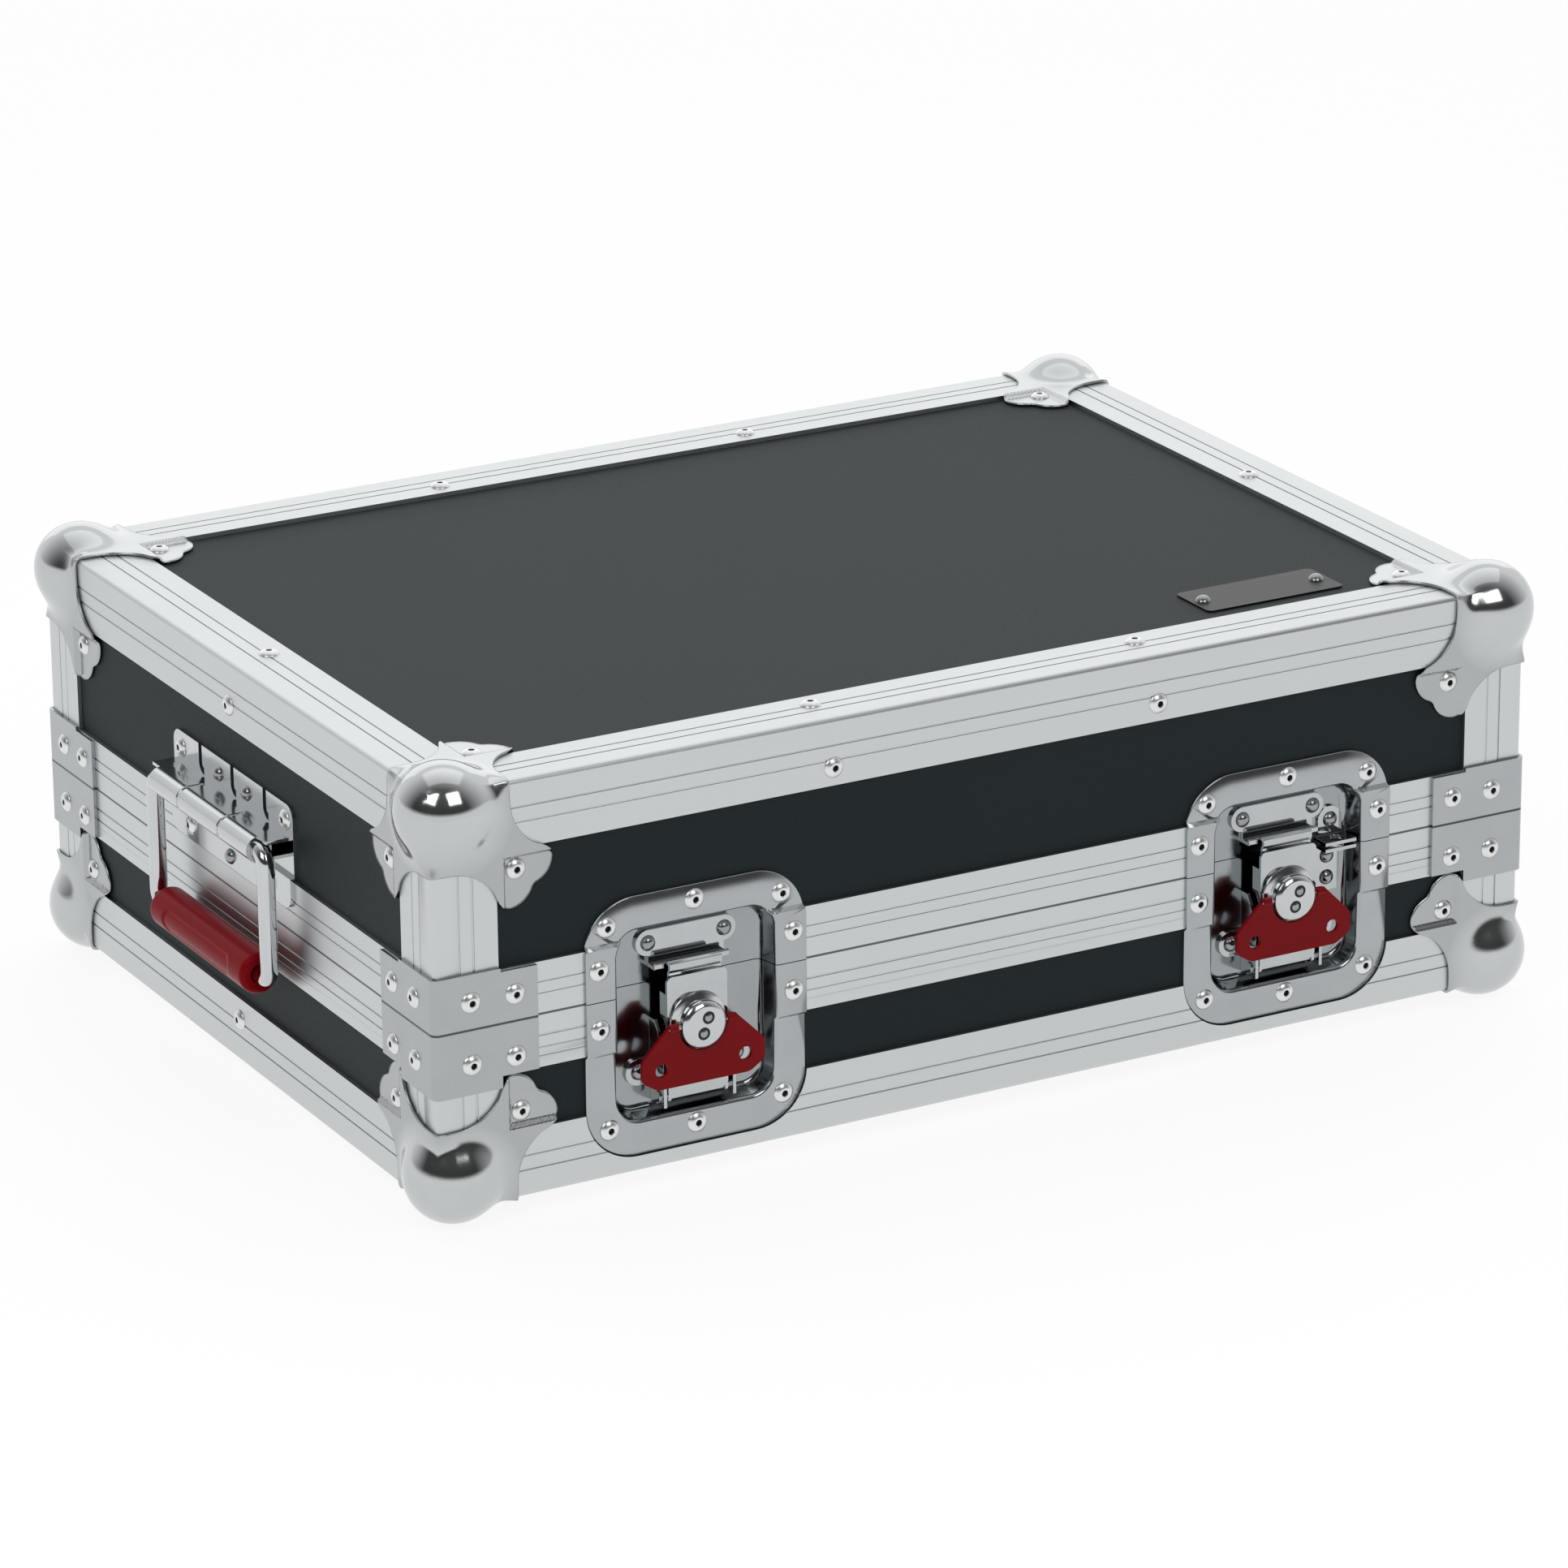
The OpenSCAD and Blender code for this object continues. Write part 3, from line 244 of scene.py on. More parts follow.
# ---------- laminated panels ----------
# Birch plywood faced with a fine-grained black laminate, cut to slide into
# the slots of the extrusions.
laminate = Finish("laminate", Specular_IOR_Level=0.22, Specular_Tint=(0.86, 0.97, 1.0))
pebble = laminate.grain(0.0011, 3.0, rough=0.62)
cloud = laminate.grain(0.09, 3.0)
mottle = pebble * 0.5 + cloud * 0.5
laminate.put(Base_Color=laminate.blend(mottle, (0.007, 0.012, 0.014), (0.013, 0.020, 0.023)),
             Roughness=0.50 + 0.14 * pebble)
laminate.bump(pebble, 0.00018)
laminate.give("base_bottom_panel", "base_front_panel", "base_back_panel", "base_end_panels",
              "lid_top_panel", "lid_front_panel", "lid_back_panel", "lid_end_panels")

# ---------- edge and closing extrusions ----------
# Double-angle aluminium, satin from the die, with two fine grooves drawn
# along each leg. The closing pair has a tongue below and a groove above.
# The half sizes are over the extrusions, and level is the height of their middle.
mm = 0.001
half_long, half_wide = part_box("base_end_rails")[1].x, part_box("base_long_rails")[1].y
underside, upper_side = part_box("base_long_rails")[0].z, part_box("lid_long_rails")[1].z
half_high, level = (upper_side - underside) / 2, (upper_side + underside) / 2
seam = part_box("lid_groove_frame")[0].z


def seam_shade(finish):
    """1 on the line round the outside where the two halves meet, which is painted dark as the shade in the
    seam, and 0 on the mating faces.
    """
    height = finish.axes()[2]
    upward = finish.split(finish.add("ShaderNodeTexCoord", output=1))[2]
    return abs(height - seam).between(0.0007, 0.0003) * abs(upward).between(0.8, 0.4)


def extrusion(name, run, inset, grooves):
    """Satin aluminium drawn along one axis; inset gives the distance across the legs from the outer edge."""
    satin = Finish(name, Metallic=1.0)
    x, y, z = satin.axes()
    across = inset(half_long - abs(x), half_wide - abs(y), half_high - abs(z - level), z)
    drawn = tuple(0.004 if axis == run else 1 for axis in range(3))
    lines = satin.grain(0.0009, 2.0, drawn)
    haze = satin.grain(0.05, 3.0)
    cut = 0
    for groove in grooves:
        cut = across.near(groove, 0.00045) + cut
    # Painted shade: the seam line and the grooves are darkened in the colour.
    shadow = seam_shade(satin).at_least(cut * 0.14)
    satin.put(Base_Color=satin.blend(shadow, (0.585, 0.606, 0.614), (0.10, 0.105, 0.11)),
              Roughness=0.30 + 0.06 * lines + 0.06 * haze)
    satin.bump(lines * 0.12 - cut, 0.00008)
    return satin


legs = (0.0121, 0.0182)
extrusion("rail_along", 0, lambda x, y, z, h: y + z, legs).give("base_long_rails", "lid_long_rails")
extrusion("rail_across", 1, lambda x, y, z, h: x + z, legs).give("base_end_rails", "lid_end_rails")
upright = extrusion("rail_upright", 2, lambda x, y, z, h: x + y, legs)
closing = extrusion("closing_rail", 0, lambda x, y, z, h: h, (0.0710, 0.0805))


def joined(shape, name, finish, body, slot, *replaced):
    """A finished bmesh as a smooth-shaded piece that rides on a body and stands for CAD nodes."""
    skin = bpy.data.meshes.new(name)
    for face in shape.faces:
        face.smooth = True
    shape.to_mesh(skin)
    shape.free()
    skin.materials.append(finish.material)
    piece = bpy.data.objects.new(name, skin)
    bpy.context.collection.objects.link(piece)
    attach(piece, body)
    if replaced:
        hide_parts(*replaced)
    return piece


rides_on = {node: body for body, names in frame["record"]["behaviour"]["bodies"].items() for node in names}
finish_of = {row["node"]: row["material_slot"] for row in frame["record"]["subparts"]}


def eased(name, finish, width=0.3 * mm):
    """A copy of a CAD node with its sharp edges rounded to a width, standing for that node."""
    crease = math.radians(32)
    copy = bmesh.new()
    copy.from_mesh(nodes[name].data)
    bmesh.ops.remove_doubles(copy, verts=copy.verts, dist=0.000002)
    bmesh.ops.dissolve_limit(copy, angle_limit=math.radians(0.6), verts=copy.verts, edges=copy.edges)
    piece = joined(copy, name + "_eased", finish, rides_on[name], finish_of[name], name)
    if width:
        edge = piece.modifiers.new("edge", "BEVEL")
        edge.width, edge.segments, edge.limit_method, edge.angle_limit = width, 2, "ANGLE", crease
        edge.harden_normals = True
    piece.data.set_sharp_from_angle(angle=crease)
    return piece


for name in ("base_tongue_frame", "lid_groove_frame"):
    eased(name, closing)
for name in ("base_corner_posts", "lid_corner_posts"):
    eased(name, upright)

# ---------- ball corners ----------
# Zinc-plated sheet pressed to a ball with three scalloped flanges. The
# flanges fold round the extrusions, step down onto the panels, and each has
# one rivet. One corner is shaped, and its mirror images make the other seven.
ball_radius, ball_in, sheet, gauge, flange_edge, step_at = 0.021, 0.012, 0.0015, 0.0013, 0.036, 0.0328
ball_heart = Vector((ball_in,) * 3)


def woven(shape, columns, rows, point):
    """A grid of columns by rows whose vertices go where point(column, row) says."""
    for vert in bmesh.ops.create_grid(shape, x_segments=columns, y_segments=rows, size=0.5)["verts"]:
        vert.co = point(round((vert.co.x + 0.5) * columns), round((vert.co.y + 0.5) * rows))


def scallops(count):
    """Half of a flange's outline: from the fold, by the hollow, shoulder and lobe, to the diagonal."""
    foot, hollow, lobe, lobe_centre, steps = 0.0076, 0.0245, 0.0114, (0.0446, 0.0356), 14
    points = [(flange_edge, -sheet), (flange_edge, foot)]
    for k in range(1, steps + 1):
        turn = math.radians(180 - 78.3 * k / steps)
        points.append((flange_edge + hollow + hollow * math.cos(turn), foot + hollow * math.sin(turn)))
    points = [q for q in points if q[0] <= 0.0478]
    points += [(0.0490, 0.0290), (0.0508, 0.0297), (0.0527, 0.0307), (0.0544, 0.0321), (0.0554, 0.0337)]
    for k in range(steps + 1):
        turn = math.radians(79 * k / steps)
        points.append((lobe_centre[0] + lobe * math.cos(turn), lobe_centre[1] + lobe * math.sin(turn)))
    half = [q for q in points if q[0] > q[1]]
    half.append((sum(half[-1]) / 2,) * 2)
    return evenly(half, count)


def evenly(points, count):
    """Points at even steps along a polyline."""
    reach = [0.0]
    for one, two in zip(points, points[1:]):
        reach.append(reach[-1] + math.dist(one, two))
    spread, k = [], 0
    for step in range(count + 1):
        want = reach[-1] * step / count
        while k < len(points) - 2 and reach[k + 1] < want:
            k += 1
        share = (want - reach[k]) / (reach[k + 1] - reach[k])
        spread.append(tuple(a + (b - a) * share for a, b in zip(points[k], points[k + 1])))
    return spread


def ease(value):
    """A smooth step from 0 to 1."""
    value = min(max(value, 0), 1)
    return value * value * (3 - 2 * value)


def pressed(place):
    """Where the press leaves a point of a square-edged corner: folds round, the ball raised, tips stepped."""
    place = Vector(place)
    drop = ease((sorted(place)[1] - step_at + 0.0004) / 0.0016)
    fold = 0.0026 + 0.009 * (1 - ease(((place - ball_heart).length - 0.020) / 0.012))
    core = Vector([max(c, fold - sheet) for c in place])
    out = place - core
    if out.length > 1e-9:
        place = core + out.normalized() * fold
    place = Vector([c + 0.002 * drop if c == min(place) and drop else c for c in place])
    away = place - ball_heart
    reach, blend = away.length, 0.0085
    raised = max(reach, ball_radius) + max(blend - abs(reach - ball_radius), 0) ** 2 / (4 * blend)
    if reach < ball_radius - blend:
        raised = ball_radius
    return ball_heart + away * (raised / reach)


def corner_skin():
    """The outer skin of the corner at the origin, the case filling +X +Y +Z."""
    fold_steps, edge_steps, rings, middle = 24, 56, 26, 0.021
    fold_line = [(-sheet + (flange_edge + sheet) * k / fold_steps, -sheet) for k in range(fold_steps)]
    half = fold_line + scallops(edge_steps)
    outline = half + [(v, u) for u, v in reversed(half)][1:]
    skin = bmesh.new()
    for axis in range(3):
        def point(along, ring):
            flat = [middle + (edge - middle) * ring / rings for edge in outline[along]]
            flat.insert(axis, -sheet)
            return pressed(flat)
        woven(skin, len(outline) - 1, rings, point)
    bmesh.ops.remove_doubles(skin, verts=skin.verts, dist=0.00002)
    bmesh.ops.recalc_face_normals(skin, faces=skin.faces)
    return skin


skin = corner_skin()
outermost = max(skin.faces, key=lambda face: -sum(face.calc_center_median()))
if outermost.normal.dot(outermost.calc_center_median() - ball_heart) < 0:
    bmesh.ops.reverse_faces(skin, faces=skin.faces)
bmesh.ops.solidify(skin, geom=skin.faces[:] + skin.edges[:] + skin.verts[:], thickness=gauge)
one_corner = bpy.data.meshes.new("one_corner")
skin.to_mesh(one_corner)
skin.free()

polished = Finish("pressed_corner", Metallic=1.0)
x, y, z = polished.axes()
from_ball = polished.length(abs(x) - half_long + ball_in, abs(y) - half_wide + ball_in,
                            abs(z - level) - half_high + ball_in)
satin_share = from_ball.between(0.0205, 0.030)
blotch = polished.grain(0.02, 4.0)
speck = polished.grain(0.0007, 2.0)
# Painted light: on the lid's top face the satin flanges take the lighter polished colour, though their
# roughness stays satin.
painted_top_light = (z - level).between(half_high - 0.003, half_high - 0.0005)
bright = polished.blend(blotch, (0.50, 0.519, 0.528), (0.57, 0.586, 0.594))
dull = polished.blend(blotch, (0.385, 0.402, 0.410), (0.440, 0.456, 0.463))
polished.put(Base_Color=polished.blend(satin_share * (1 - painted_top_light), bright, dull),
             Roughness=0.07 + 0.13 * satin_share + 0.04 * blotch + 0.03 * speck)
polished.bump(speck, 0.00001)
for body, top in (("base", 0), ("lid", 1)):
    four = bmesh.new()
    for side in (0, 1):
        for rear in (0, 1):
            before = set(four.verts)
            four.from_mesh(one_corner)
            fresh = [v for v in four.verts if v not in before]
            outward = (2 * side - 1, 2 * rear - 1, 2 * top - 1)
            at = Vector((half_long * outward[0], half_wide * outward[1], level + half_high * outward[2]))
            bmesh.ops.scale(four, vec=[-sign for sign in outward], verts=fresh)
            bmesh.ops.translate(four, vec=at, verts=fresh)
            if (side + rear + top) % 2:
                bmesh.ops.reverse_faces(four, faces=list({f for v in fresh for f in v.link_faces}))
    joined(four, body + "_pressed_corners", polished, body, "zinc_steel", body + "_ball_corners")

# ---------- seam clamps and hinges ----------
# Zinc-plated strip folded round the corners beside the seam, and two leaf
# hinges at the back, all riveted through the extrusions.
zinc = Finish("zinc_plate", Metallic=1.0)
blotch = zinc.grain(0.02, 4.0)
speck = zinc.grain(0.0007, 2.0)
plated = zinc.blend(blotch, (0.375, 0.398, 0.409), (0.430, 0.451, 0.460))
# Painted shade: the seam line on the clamps is coloured near black.
zinc.put(Base_Color=zinc.blend(seam_shade(zinc), plated, (0.06, 0.063, 0.066)),
         Roughness=0.24 + 0.05 * blotch + 0.03 * speck)
zinc.bump(speck, 0.000005)
for name in ("base_seam_clamps", "lid_seam_clamps"):
    eased(name, zinc, 0.5 * mm)
for name in ("hinge_leaves_base", "hinge_leaves_lid", "hinge_pins"):
    eased(name, zinc)

# ---------- rivets ----------
# Steel pop rivets: a low flange, a raised collar round the mandrel hole, and
# the mandrel left inside, with the hole and mandrel painted near black as shade.
# The plates in the latch dishes have solid domed rivets. Each is set where the model has its hole.
rivet_steel = Finish("rivet_steel", Metallic=1.0)
tumble = rivet_steel.grain(0.003, 3.0)
rivet_steel.put(Base_Color=rivet_steel.blend(tumble, (0.70, 0.715, 0.72), (0.78, 0.79, 0.795)),
                Roughness=0.26 + 0.08 * tumble)
# Painted shade: a near-black metal for the inside of the rivet holes and for the hub's sinks.
painted_hole_shade = Finish("painted_hole_shade", Metallic=1.0)
hole_shade_grain = painted_hole_shade.grain(0.0008, 2.0)
painted_hole_shade.put(Base_Color=painted_hole_shade.blend(hole_shade_grain, (0.020, 0.021, 0.022), (0.055, 0.056, 0.058)),
            Roughness=0.4 + 0.2 * hole_shade_grain)
dark_dome = Finish("dark_dome", Metallic=1.0)
bloom = dark_dome.grain(0.002, 3.0)
dark_dome.put(Base_Color=dark_dome.blend(bloom, (0.27, 0.28, 0.285), (0.36, 0.37, 0.375)),
              Roughness=0.14 + 0.1 * bloom)


def islands(name):
    """The lowest and highest corners of each separate solid in a CAD node, in a steady order."""
    solid = bmesh.new()
    solid.from_mesh(nodes[name].data)
    bmesh.ops.remove_doubles(solid, verts=solid.verts, dist=0.000001)
    left, boxes = set(solid.verts), []
    while left:
        reached = [left.pop()]
        for vert in reached:
            near = {edge.other_vert(vert) for edge in vert.link_edges} & left
            left -= near
            reached.extend(near)
        boxes.append([Vector(pick(v.co[i] for v in reached) for i in range(3)) for pick in (min, max)])
    solid.free()
    return sorted(boxes, key=lambda box: [round(c, 6) for corner in box for c in corner])


def turned_profile(shape, profile, steps, place):
    """Spins a half profile of (radius, height) points in millimetres about Z and puts it in place."""
    line = [shape.verts.new((r * mm, 0, h * mm)) for r, h in profile]
    edges = [shape.edges.new(pair) for pair in zip(line, line[1:])]
    before = set(shape.verts) - set(line)
    bmesh.ops.spin(shape, geom=line + edges, cent=(0, 0, 0), axis=(0, 0, 1), angle=math.tau, steps=steps,
                   use_merge=True)
    fresh = [v for v in shape.verts if v not in before]
    bmesh.ops.remove_doubles(shape, verts=fresh, dist=0.000005)
    fresh = [v for v in shape.verts if v not in before]
    bmesh.ops.recalc_face_normals(shape, faces=list({f for v in fresh for f in v.link_faces}))
    bmesh.ops.transform(shape, matrix=place, verts=fresh)
    return fresh


pop_profile = [(0, 0.8), (0.8, 0.75), (1.0, 0.4), (1.25, 0.4), (1.32, 1.6), (1.6, 1.88), (2.1, 1.92),
               (2.8, 1.7), (3.5, 1.3), (4.1, 0.86), (4.5, 0.48), (4.72, 0.1), (4.72, -0.1)]
dome_profile = [(0, 2.4), (0.9, 2.33), (1.8, 2.05), (2.6, 1.5), (3.2, 0.8), (3.5, 0.3), (3.6, -0.1)]
hole_shade_radius = 1.29 * mm
made_heads = {}
for domed, profile in ((False, pop_profile), (True, dome_profile)):
    blank = bmesh.new()
    turned_profile(blank, profile, 24, Matrix())
    for face in blank.faces:
        # Faces inside the hole take the near-black painted shade.
        dark = math.hypot(*face.calc_center_median().xy) < hole_shade_radius
        face.material_index = 2 if domed else int(dark)
        face.smooth = True
    made_heads[domed] = bpy.data.meshes.new("rivet_blank")
    blank.to_mesh(made_heads[domed])
    blank.free()
dome_width, dome_height, pop_width, pop_height = 7.2 * mm, 2.4 * mm, 9.5 * mm, 2.2 * mm
for body in ("base", "lid"):
    heads = bmesh.new()
    for low, high in islands(body + "_rivets"):
        middle, extent = (low + high) / 2, high - low
        domed = sorted(extent)[1] < 8 * mm
        width, height = (dome_width, dome_height) if domed else (pop_width, pop_height)
        along = max(range(3), key=lambda i: abs(extent[i] - width))
        out = Vector([0, 0, 0])
        out[along] = 1 if middle[along] > (0, 0, level)[along] else -1
        foot = Vector(middle)
        foot[along] = (high if out[along] > 0 else low)[along] - out[along] * height
        count = len(heads.verts)
        heads.from_mesh(made_heads[domed])
        heads.verts.ensure_lookup_table()
        place = Matrix.Translation(foot) @ out.to_track_quat("Z", "Y").to_matrix().to_4x4()
        bmesh.ops.transform(heads, matrix=place, verts=heads.verts[count:])
    riveted = joined(heads, body + "_rivet_heads", rivet_steel, body, "rivet", body + "_rivets")
    riveted.data.materials.append(painted_hole_shade.material)
    riveted.data.materials.append(dark_dome.material)

# ---------- latch dishes ----------
# Zinc-plated pans pressed from sheet, split at the seam: a flange that steps
# over the extrusions, a rolled lip, drafted walls and a flat floor. Inside the
# lip the metal is smoother, and its colour is painted darker towards the floor as shade.
dish_low, dish_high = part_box("latch_dish_lower_right")
latch_x, front = (dish_low.x + dish_high.x) / 2, -half_wide
rail_band, floor_depth, step_run, pan_gauge = (-0.0237, 0.0233), 0.0099, 1.6 * mm, 1.1 * mm
pan = Finish("latch_pan", Metallic=1.0)
depth = (pan.axes()[1] - front) / floor_depth
blotch = pan.grain(0.015, 4.0)
speck = pan.grain(0.0007, 2.0)
# Painted shade: the colour darkens with depth into the dish, over a random blotch.
blotch_and_depth_shade = blotch * 0.4 + 0.6 - 0.6 * depth.between(0.2, 0.9)
pan.put(Base_Color=pan.blend(blotch_and_depth_shade, (0.290, 0.310, 0.322), (0.42, 0.442, 0.452)),
        Roughness=0.20 - 0.11 * depth.between(-0.1, 0.2) + 0.05 * blotch + 0.03 * speck)
pan.bump(speck, 0.00001)
lip_radius, heel_radius, draft = 2.2, 3, 1.2


def well_ring(grow, depth):
    """A ring of the well, its opening grown all round."""
    return 37.5 + grow, 27.8 + grow, 57.5 + grow, 11 + grow, depth


# Each ring of the pan, in millimetres: half width, heights above and below the seam, corner radius, depth.
pan_rings = [(52.5, 43.5, 73.1, 24, 0.3), (52.5, 43.5, 73.1, 24, -1.1), (52.1, 43.1, 72.7, 23.6, -1.5),
             (41.0, 31.3, 61.0, 14.5, -1.5)]
for turn in (0, 0.26, 0.52, 0.79, 1.05, 1.31, 1.5):
    pan_rings.append(well_ring(lip_radius * (1 - math.sin(turn)), -1.5 + lip_radius * (1 - math.cos(turn))))
for turn in (0, 0.32, 0.63, 0.94, 1.26, math.pi / 2):
    shrink = draft + heel_radius * (1 - math.cos(turn))
    pan_rings.append(well_ring(-shrink, 6.9 + heel_radius * math.sin(turn)))


def pan_point(step, ring):
    """A point of a pan's skin: 64 steps round one of its rings."""
    turn = math.tau * (step % 64 + 0.5) / 64
    half, above, below, radius, deep = pan_rings[ring]
    x = math.copysign(half - radius, math.cos(turn)) + radius * math.cos(turn)
    z = (above - radius if math.sin(turn) > 0 else radius - below) + radius * math.sin(turn)
    return Vector((x, deep, z)) * mm


for side, hand in ((-1, "left"), (1, "right")):
    for body, top in (("base", 0), ("lid", 1)):
        tray = bmesh.new()
        woven(tray, 64, len(pan_rings) - 1, pan_point)
        bmesh.ops.remove_doubles(tray, verts=tray.verts, dist=0.00001)
        rims = [e for e in tray.edges if e.is_boundary]
        floor_rim = [e for e in rims if min(v.co.y for v in e.verts) > 0.9 * floor_depth]
        bmesh.ops.edgeloop_fill(tray, edges=floor_rim)
        parted = 0.2 * mm * (2 * top - 1)
        for cut in (rail_band[0] - step_run, rail_band[0], rail_band[1], rail_band[1] + step_run, parted):
            everything = tray.verts[:] + tray.edges[:] + tray.faces[:]
            bmesh.ops.bisect_plane(tray, geom=everything, plane_co=(0, 0, cut), plane_no=(0, 0, 1),
                                   clear_outer=cut == parted and not top,
                                   clear_inner=cut == parted and bool(top))
        for vert in tray.verts:
            past = max(rail_band[0] - vert.co.z, vert.co.z - rail_band[1]) / step_run
            shallow = 1 - min(max((vert.co.y - 0.5 * mm) / (6 * mm), 0), 1)
            vert.co.y += 2 * mm * ease(past) * (shallow if vert.co.y > -1.5 * mm else 1)
        bmesh.ops.recalc_face_normals(tray, faces=tray.faces)
        if max(tray.faces, key=lambda face: face.calc_area()).normal.y > 0:
            bmesh.ops.reverse_faces(tray, faces=tray.faces)
        bmesh.ops.solidify(tray, geom=tray.faces[:] + tray.edges[:] + tray.verts[:], thickness=pan_gauge)
        bmesh.ops.translate(tray, vec=(side * latch_x, front, seam), verts=tray.verts)
        half = ("lower", "upper")[top]
        dish = joined(tray, f"{half}_pan_{hand}", pan, body, "zinc_steel", f"latch_dish_{half}_{hand}")
        dish.data.set_sharp_from_angle(angle=math.radians(50))

# ---------- latch mechanism ----------
# Chromed parts in each dish: the hooked lip above the seam, the riveted
# bracket and its pin, the swinging arm, the hook it draws down and the turned
# hub, whose two rivets sit in sinks on the machined face, painted near black as shade.
chrome = Finish("chrome", Metallic=1.0)
smear = chrome.grain(0.012, 3.0)
chrome.put(Base_Color=chrome.blend(smear, (0.43, 0.450, 0.462), (0.51, 0.528, 0.538)),
           Roughness=0.06 + 0.06 * smear)
for hand in ("left", "right"):
    for part in ("keeper", "bracket", "pin", "arm", "hook"):
        eased(f"latch_{part}_{hand}", chrome)

turned_steel = Finish("turned_steel", Metallic=1.0)
across, _, height = turned_steel.axes()
hub_low, hub_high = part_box("latch_hub_right")
hub_level = (hub_low.z + hub_high.z) / 2
radius = turned_steel.length(abs(across) - latch_x, 0.0, height - hub_level)
spread = turned_steel.add("ShaderNodeCombineXYZ", {}, {0: radius})
tool_marks = turned_steel.add("ShaderNodeTexWave", {"wave_type": "RINGS", "rings_direction": "SPHERICAL"},
                              {"Vector": spread, "Scale": 620.0, "Distortion": 0.6}, output=1)
turned_steel.put(Base_Color=turned_steel.blend(tool_marks, (0.50, 0.518, 0.530), (0.58, 0.595, 0.605)),
                 Roughness=0.09 + 0.07 * tool_marks)
turned_steel.bump(tool_marks, 0.000006)
# Half profiles, radius against height in millimetres; the hub's heights start at the hook's plate.
hub_profile = [(0, 0), (5.3, 0), (5.3, 0.3), (13.0, 1.3), (13.3, 1.7), (13.25, 3.3), (12.9, 4.0), (11.6, 4.7),
               (10.2, 5.0), (9.6, 5.35), (9.6, 8.2), (10.2, 8.3), (10.6, 8.7), (10.6, 9.6), (10.35, 10.1),
               (8.85, 11.2), (8.5, 11.35), (8.2, 11.4), (0, 11.4)]
sink_profile = [(0, 0.45), (0.7, 0.40), (1.3, 0.26), (1.7, 0.04), (1.8, 0.0), (2.1, 0.03), (2.6, 0.05),
                (2.85, 0.03), (2.9, -0.1)]
side_pin_profile = [(0, 7.6), (0.8, 7.6), (1.0, 7.4), (1.0, 0), (0, 0)]
crank_profile = [(0, 0), (1.3, 0), (1.5, 0.2), (1.5, 1.6), (0, 1.6)]
sunk_rivet_radius, rivet_offset, rivet_tilt = 1.7 * mm, 3.6 * mm, math.radians(18)
for side, hand in ((-1, "left"), (1, "right")):
    boss = bmesh.new()
    centre = Vector((side * latch_x, front, hub_level))
    facing = Matrix.Rotation(math.pi / 2, 4, "X")
    foot = Matrix.Translation(centre + Vector((0, 0.0025, 0))) @ facing
    turned_profile(boss, hub_profile, 72, foot)
    for end in (-1, 1):
        reach = end * rivet_offset
        spot = centre + Vector((reach * math.sin(rivet_tilt), -0.0089, reach * math.cos(rivet_tilt)))
        sink = turned_profile(boss, sink_profile, 24, Matrix.Translation(spot) @ facing)
        # Painted shade: the sink round each rivet is coloured near black.
        for face in {f for v in sink for f in v.link_faces}:
            away = face.calc_center_median() - spot
            face.material_index = 1 if math.hypot(away.x, away.z) > sunk_rivet_radius else 2
        sideways = Matrix.Rotation(end * math.pi / 2, 4, "Y")
        pin_foot = Matrix.Translation(centre + Vector((end * 0.0086, -0.0053, 0)))
        turned_profile(boss, side_pin_profile, 16, pin_foot @ sideways)
    crank = Matrix.Translation(centre + Vector((0, 0.0034, -0.0035))) @ facing
    turned_profile(boss, crank_profile, 24, crank)
    hub = joined(boss, f"turned_hub_{hand}", turned_steel, f"latch_hub_{hand}", "chrome", f"latch_hub_{hand}")
    hub.data.materials.append(painted_hole_shade.material)
    hub.data.materials.append(dark_dome.material)
    hub.data.set_sharp_from_angle(angle=math.radians(28))

# ---------- latch wings ----------
# Zinc castings in red enamel with two finger holes. The wing folds out on the
# hub's side pins to be turned, and lies flat in the dish otherwise.
enamel = Finish("wing_enamel", IOR=1.22)
coat = enamel.grain(0.0015, 3.0)
pool = enamel.grain(0.012, 2.0)
enamel.put(Base_Color=enamel.blend(coat * 0.5 + pool * 0.5, (0.225, 0.0020, 0.004), (0.300, 0.0032, 0.006)),
           Roughness=0.26 + 0.12 * coat)
enamel.bump(coat + pool * 0.4, 0.00004)
# The wing's sharp corners, across and up from the hub's centre, in millimetres.
wing_corners = [(15.5, 1.9), (29.3, -12), (29.3, -21.4), (22, -26)]
for side, hand in ((-1, "left"), (1, "right")):
    wing = eased(f"latch_wing_{hand}", enamel, 0.35 * mm)
    plate = bmesh.new()
    plate.from_mesh(wing.data)
    corner_edges = []
    for edge in plate.edges:
        at = (edge.verts[0].co + edge.verts[1].co) / 2 - Vector((side * latch_x, front, hub_level))
        run = (edge.verts[1].co - edge.verts[0].co).normalized()
        nearest = min(math.hypot(abs(at.x) - cx * mm, at.z - cz * mm) for cx, cz in wing_corners)
        if abs(run.y) > 0.99 and nearest < 0.2 * mm:
            corner_edges.append(edge)
    bmesh.ops.bevel(plate, geom=corner_edges, offset=1.6 * mm, segments=4, profile=0.5, affect="EDGES",
                    material=-1)
    for face in plate.faces:
        face.smooth = True
    plate.to_mesh(wing.data)
    plate.free()
    wing.data.set_sharp_from_angle(angle=math.radians(32))

# ---------- padlock hasp ----------
# Two small plated ears beside the right latch, their holes in line for a
# padlock through both halves.
for name in ("hasp_leaf_base", "hasp_tab_lid"):
    eased(name, chrome)

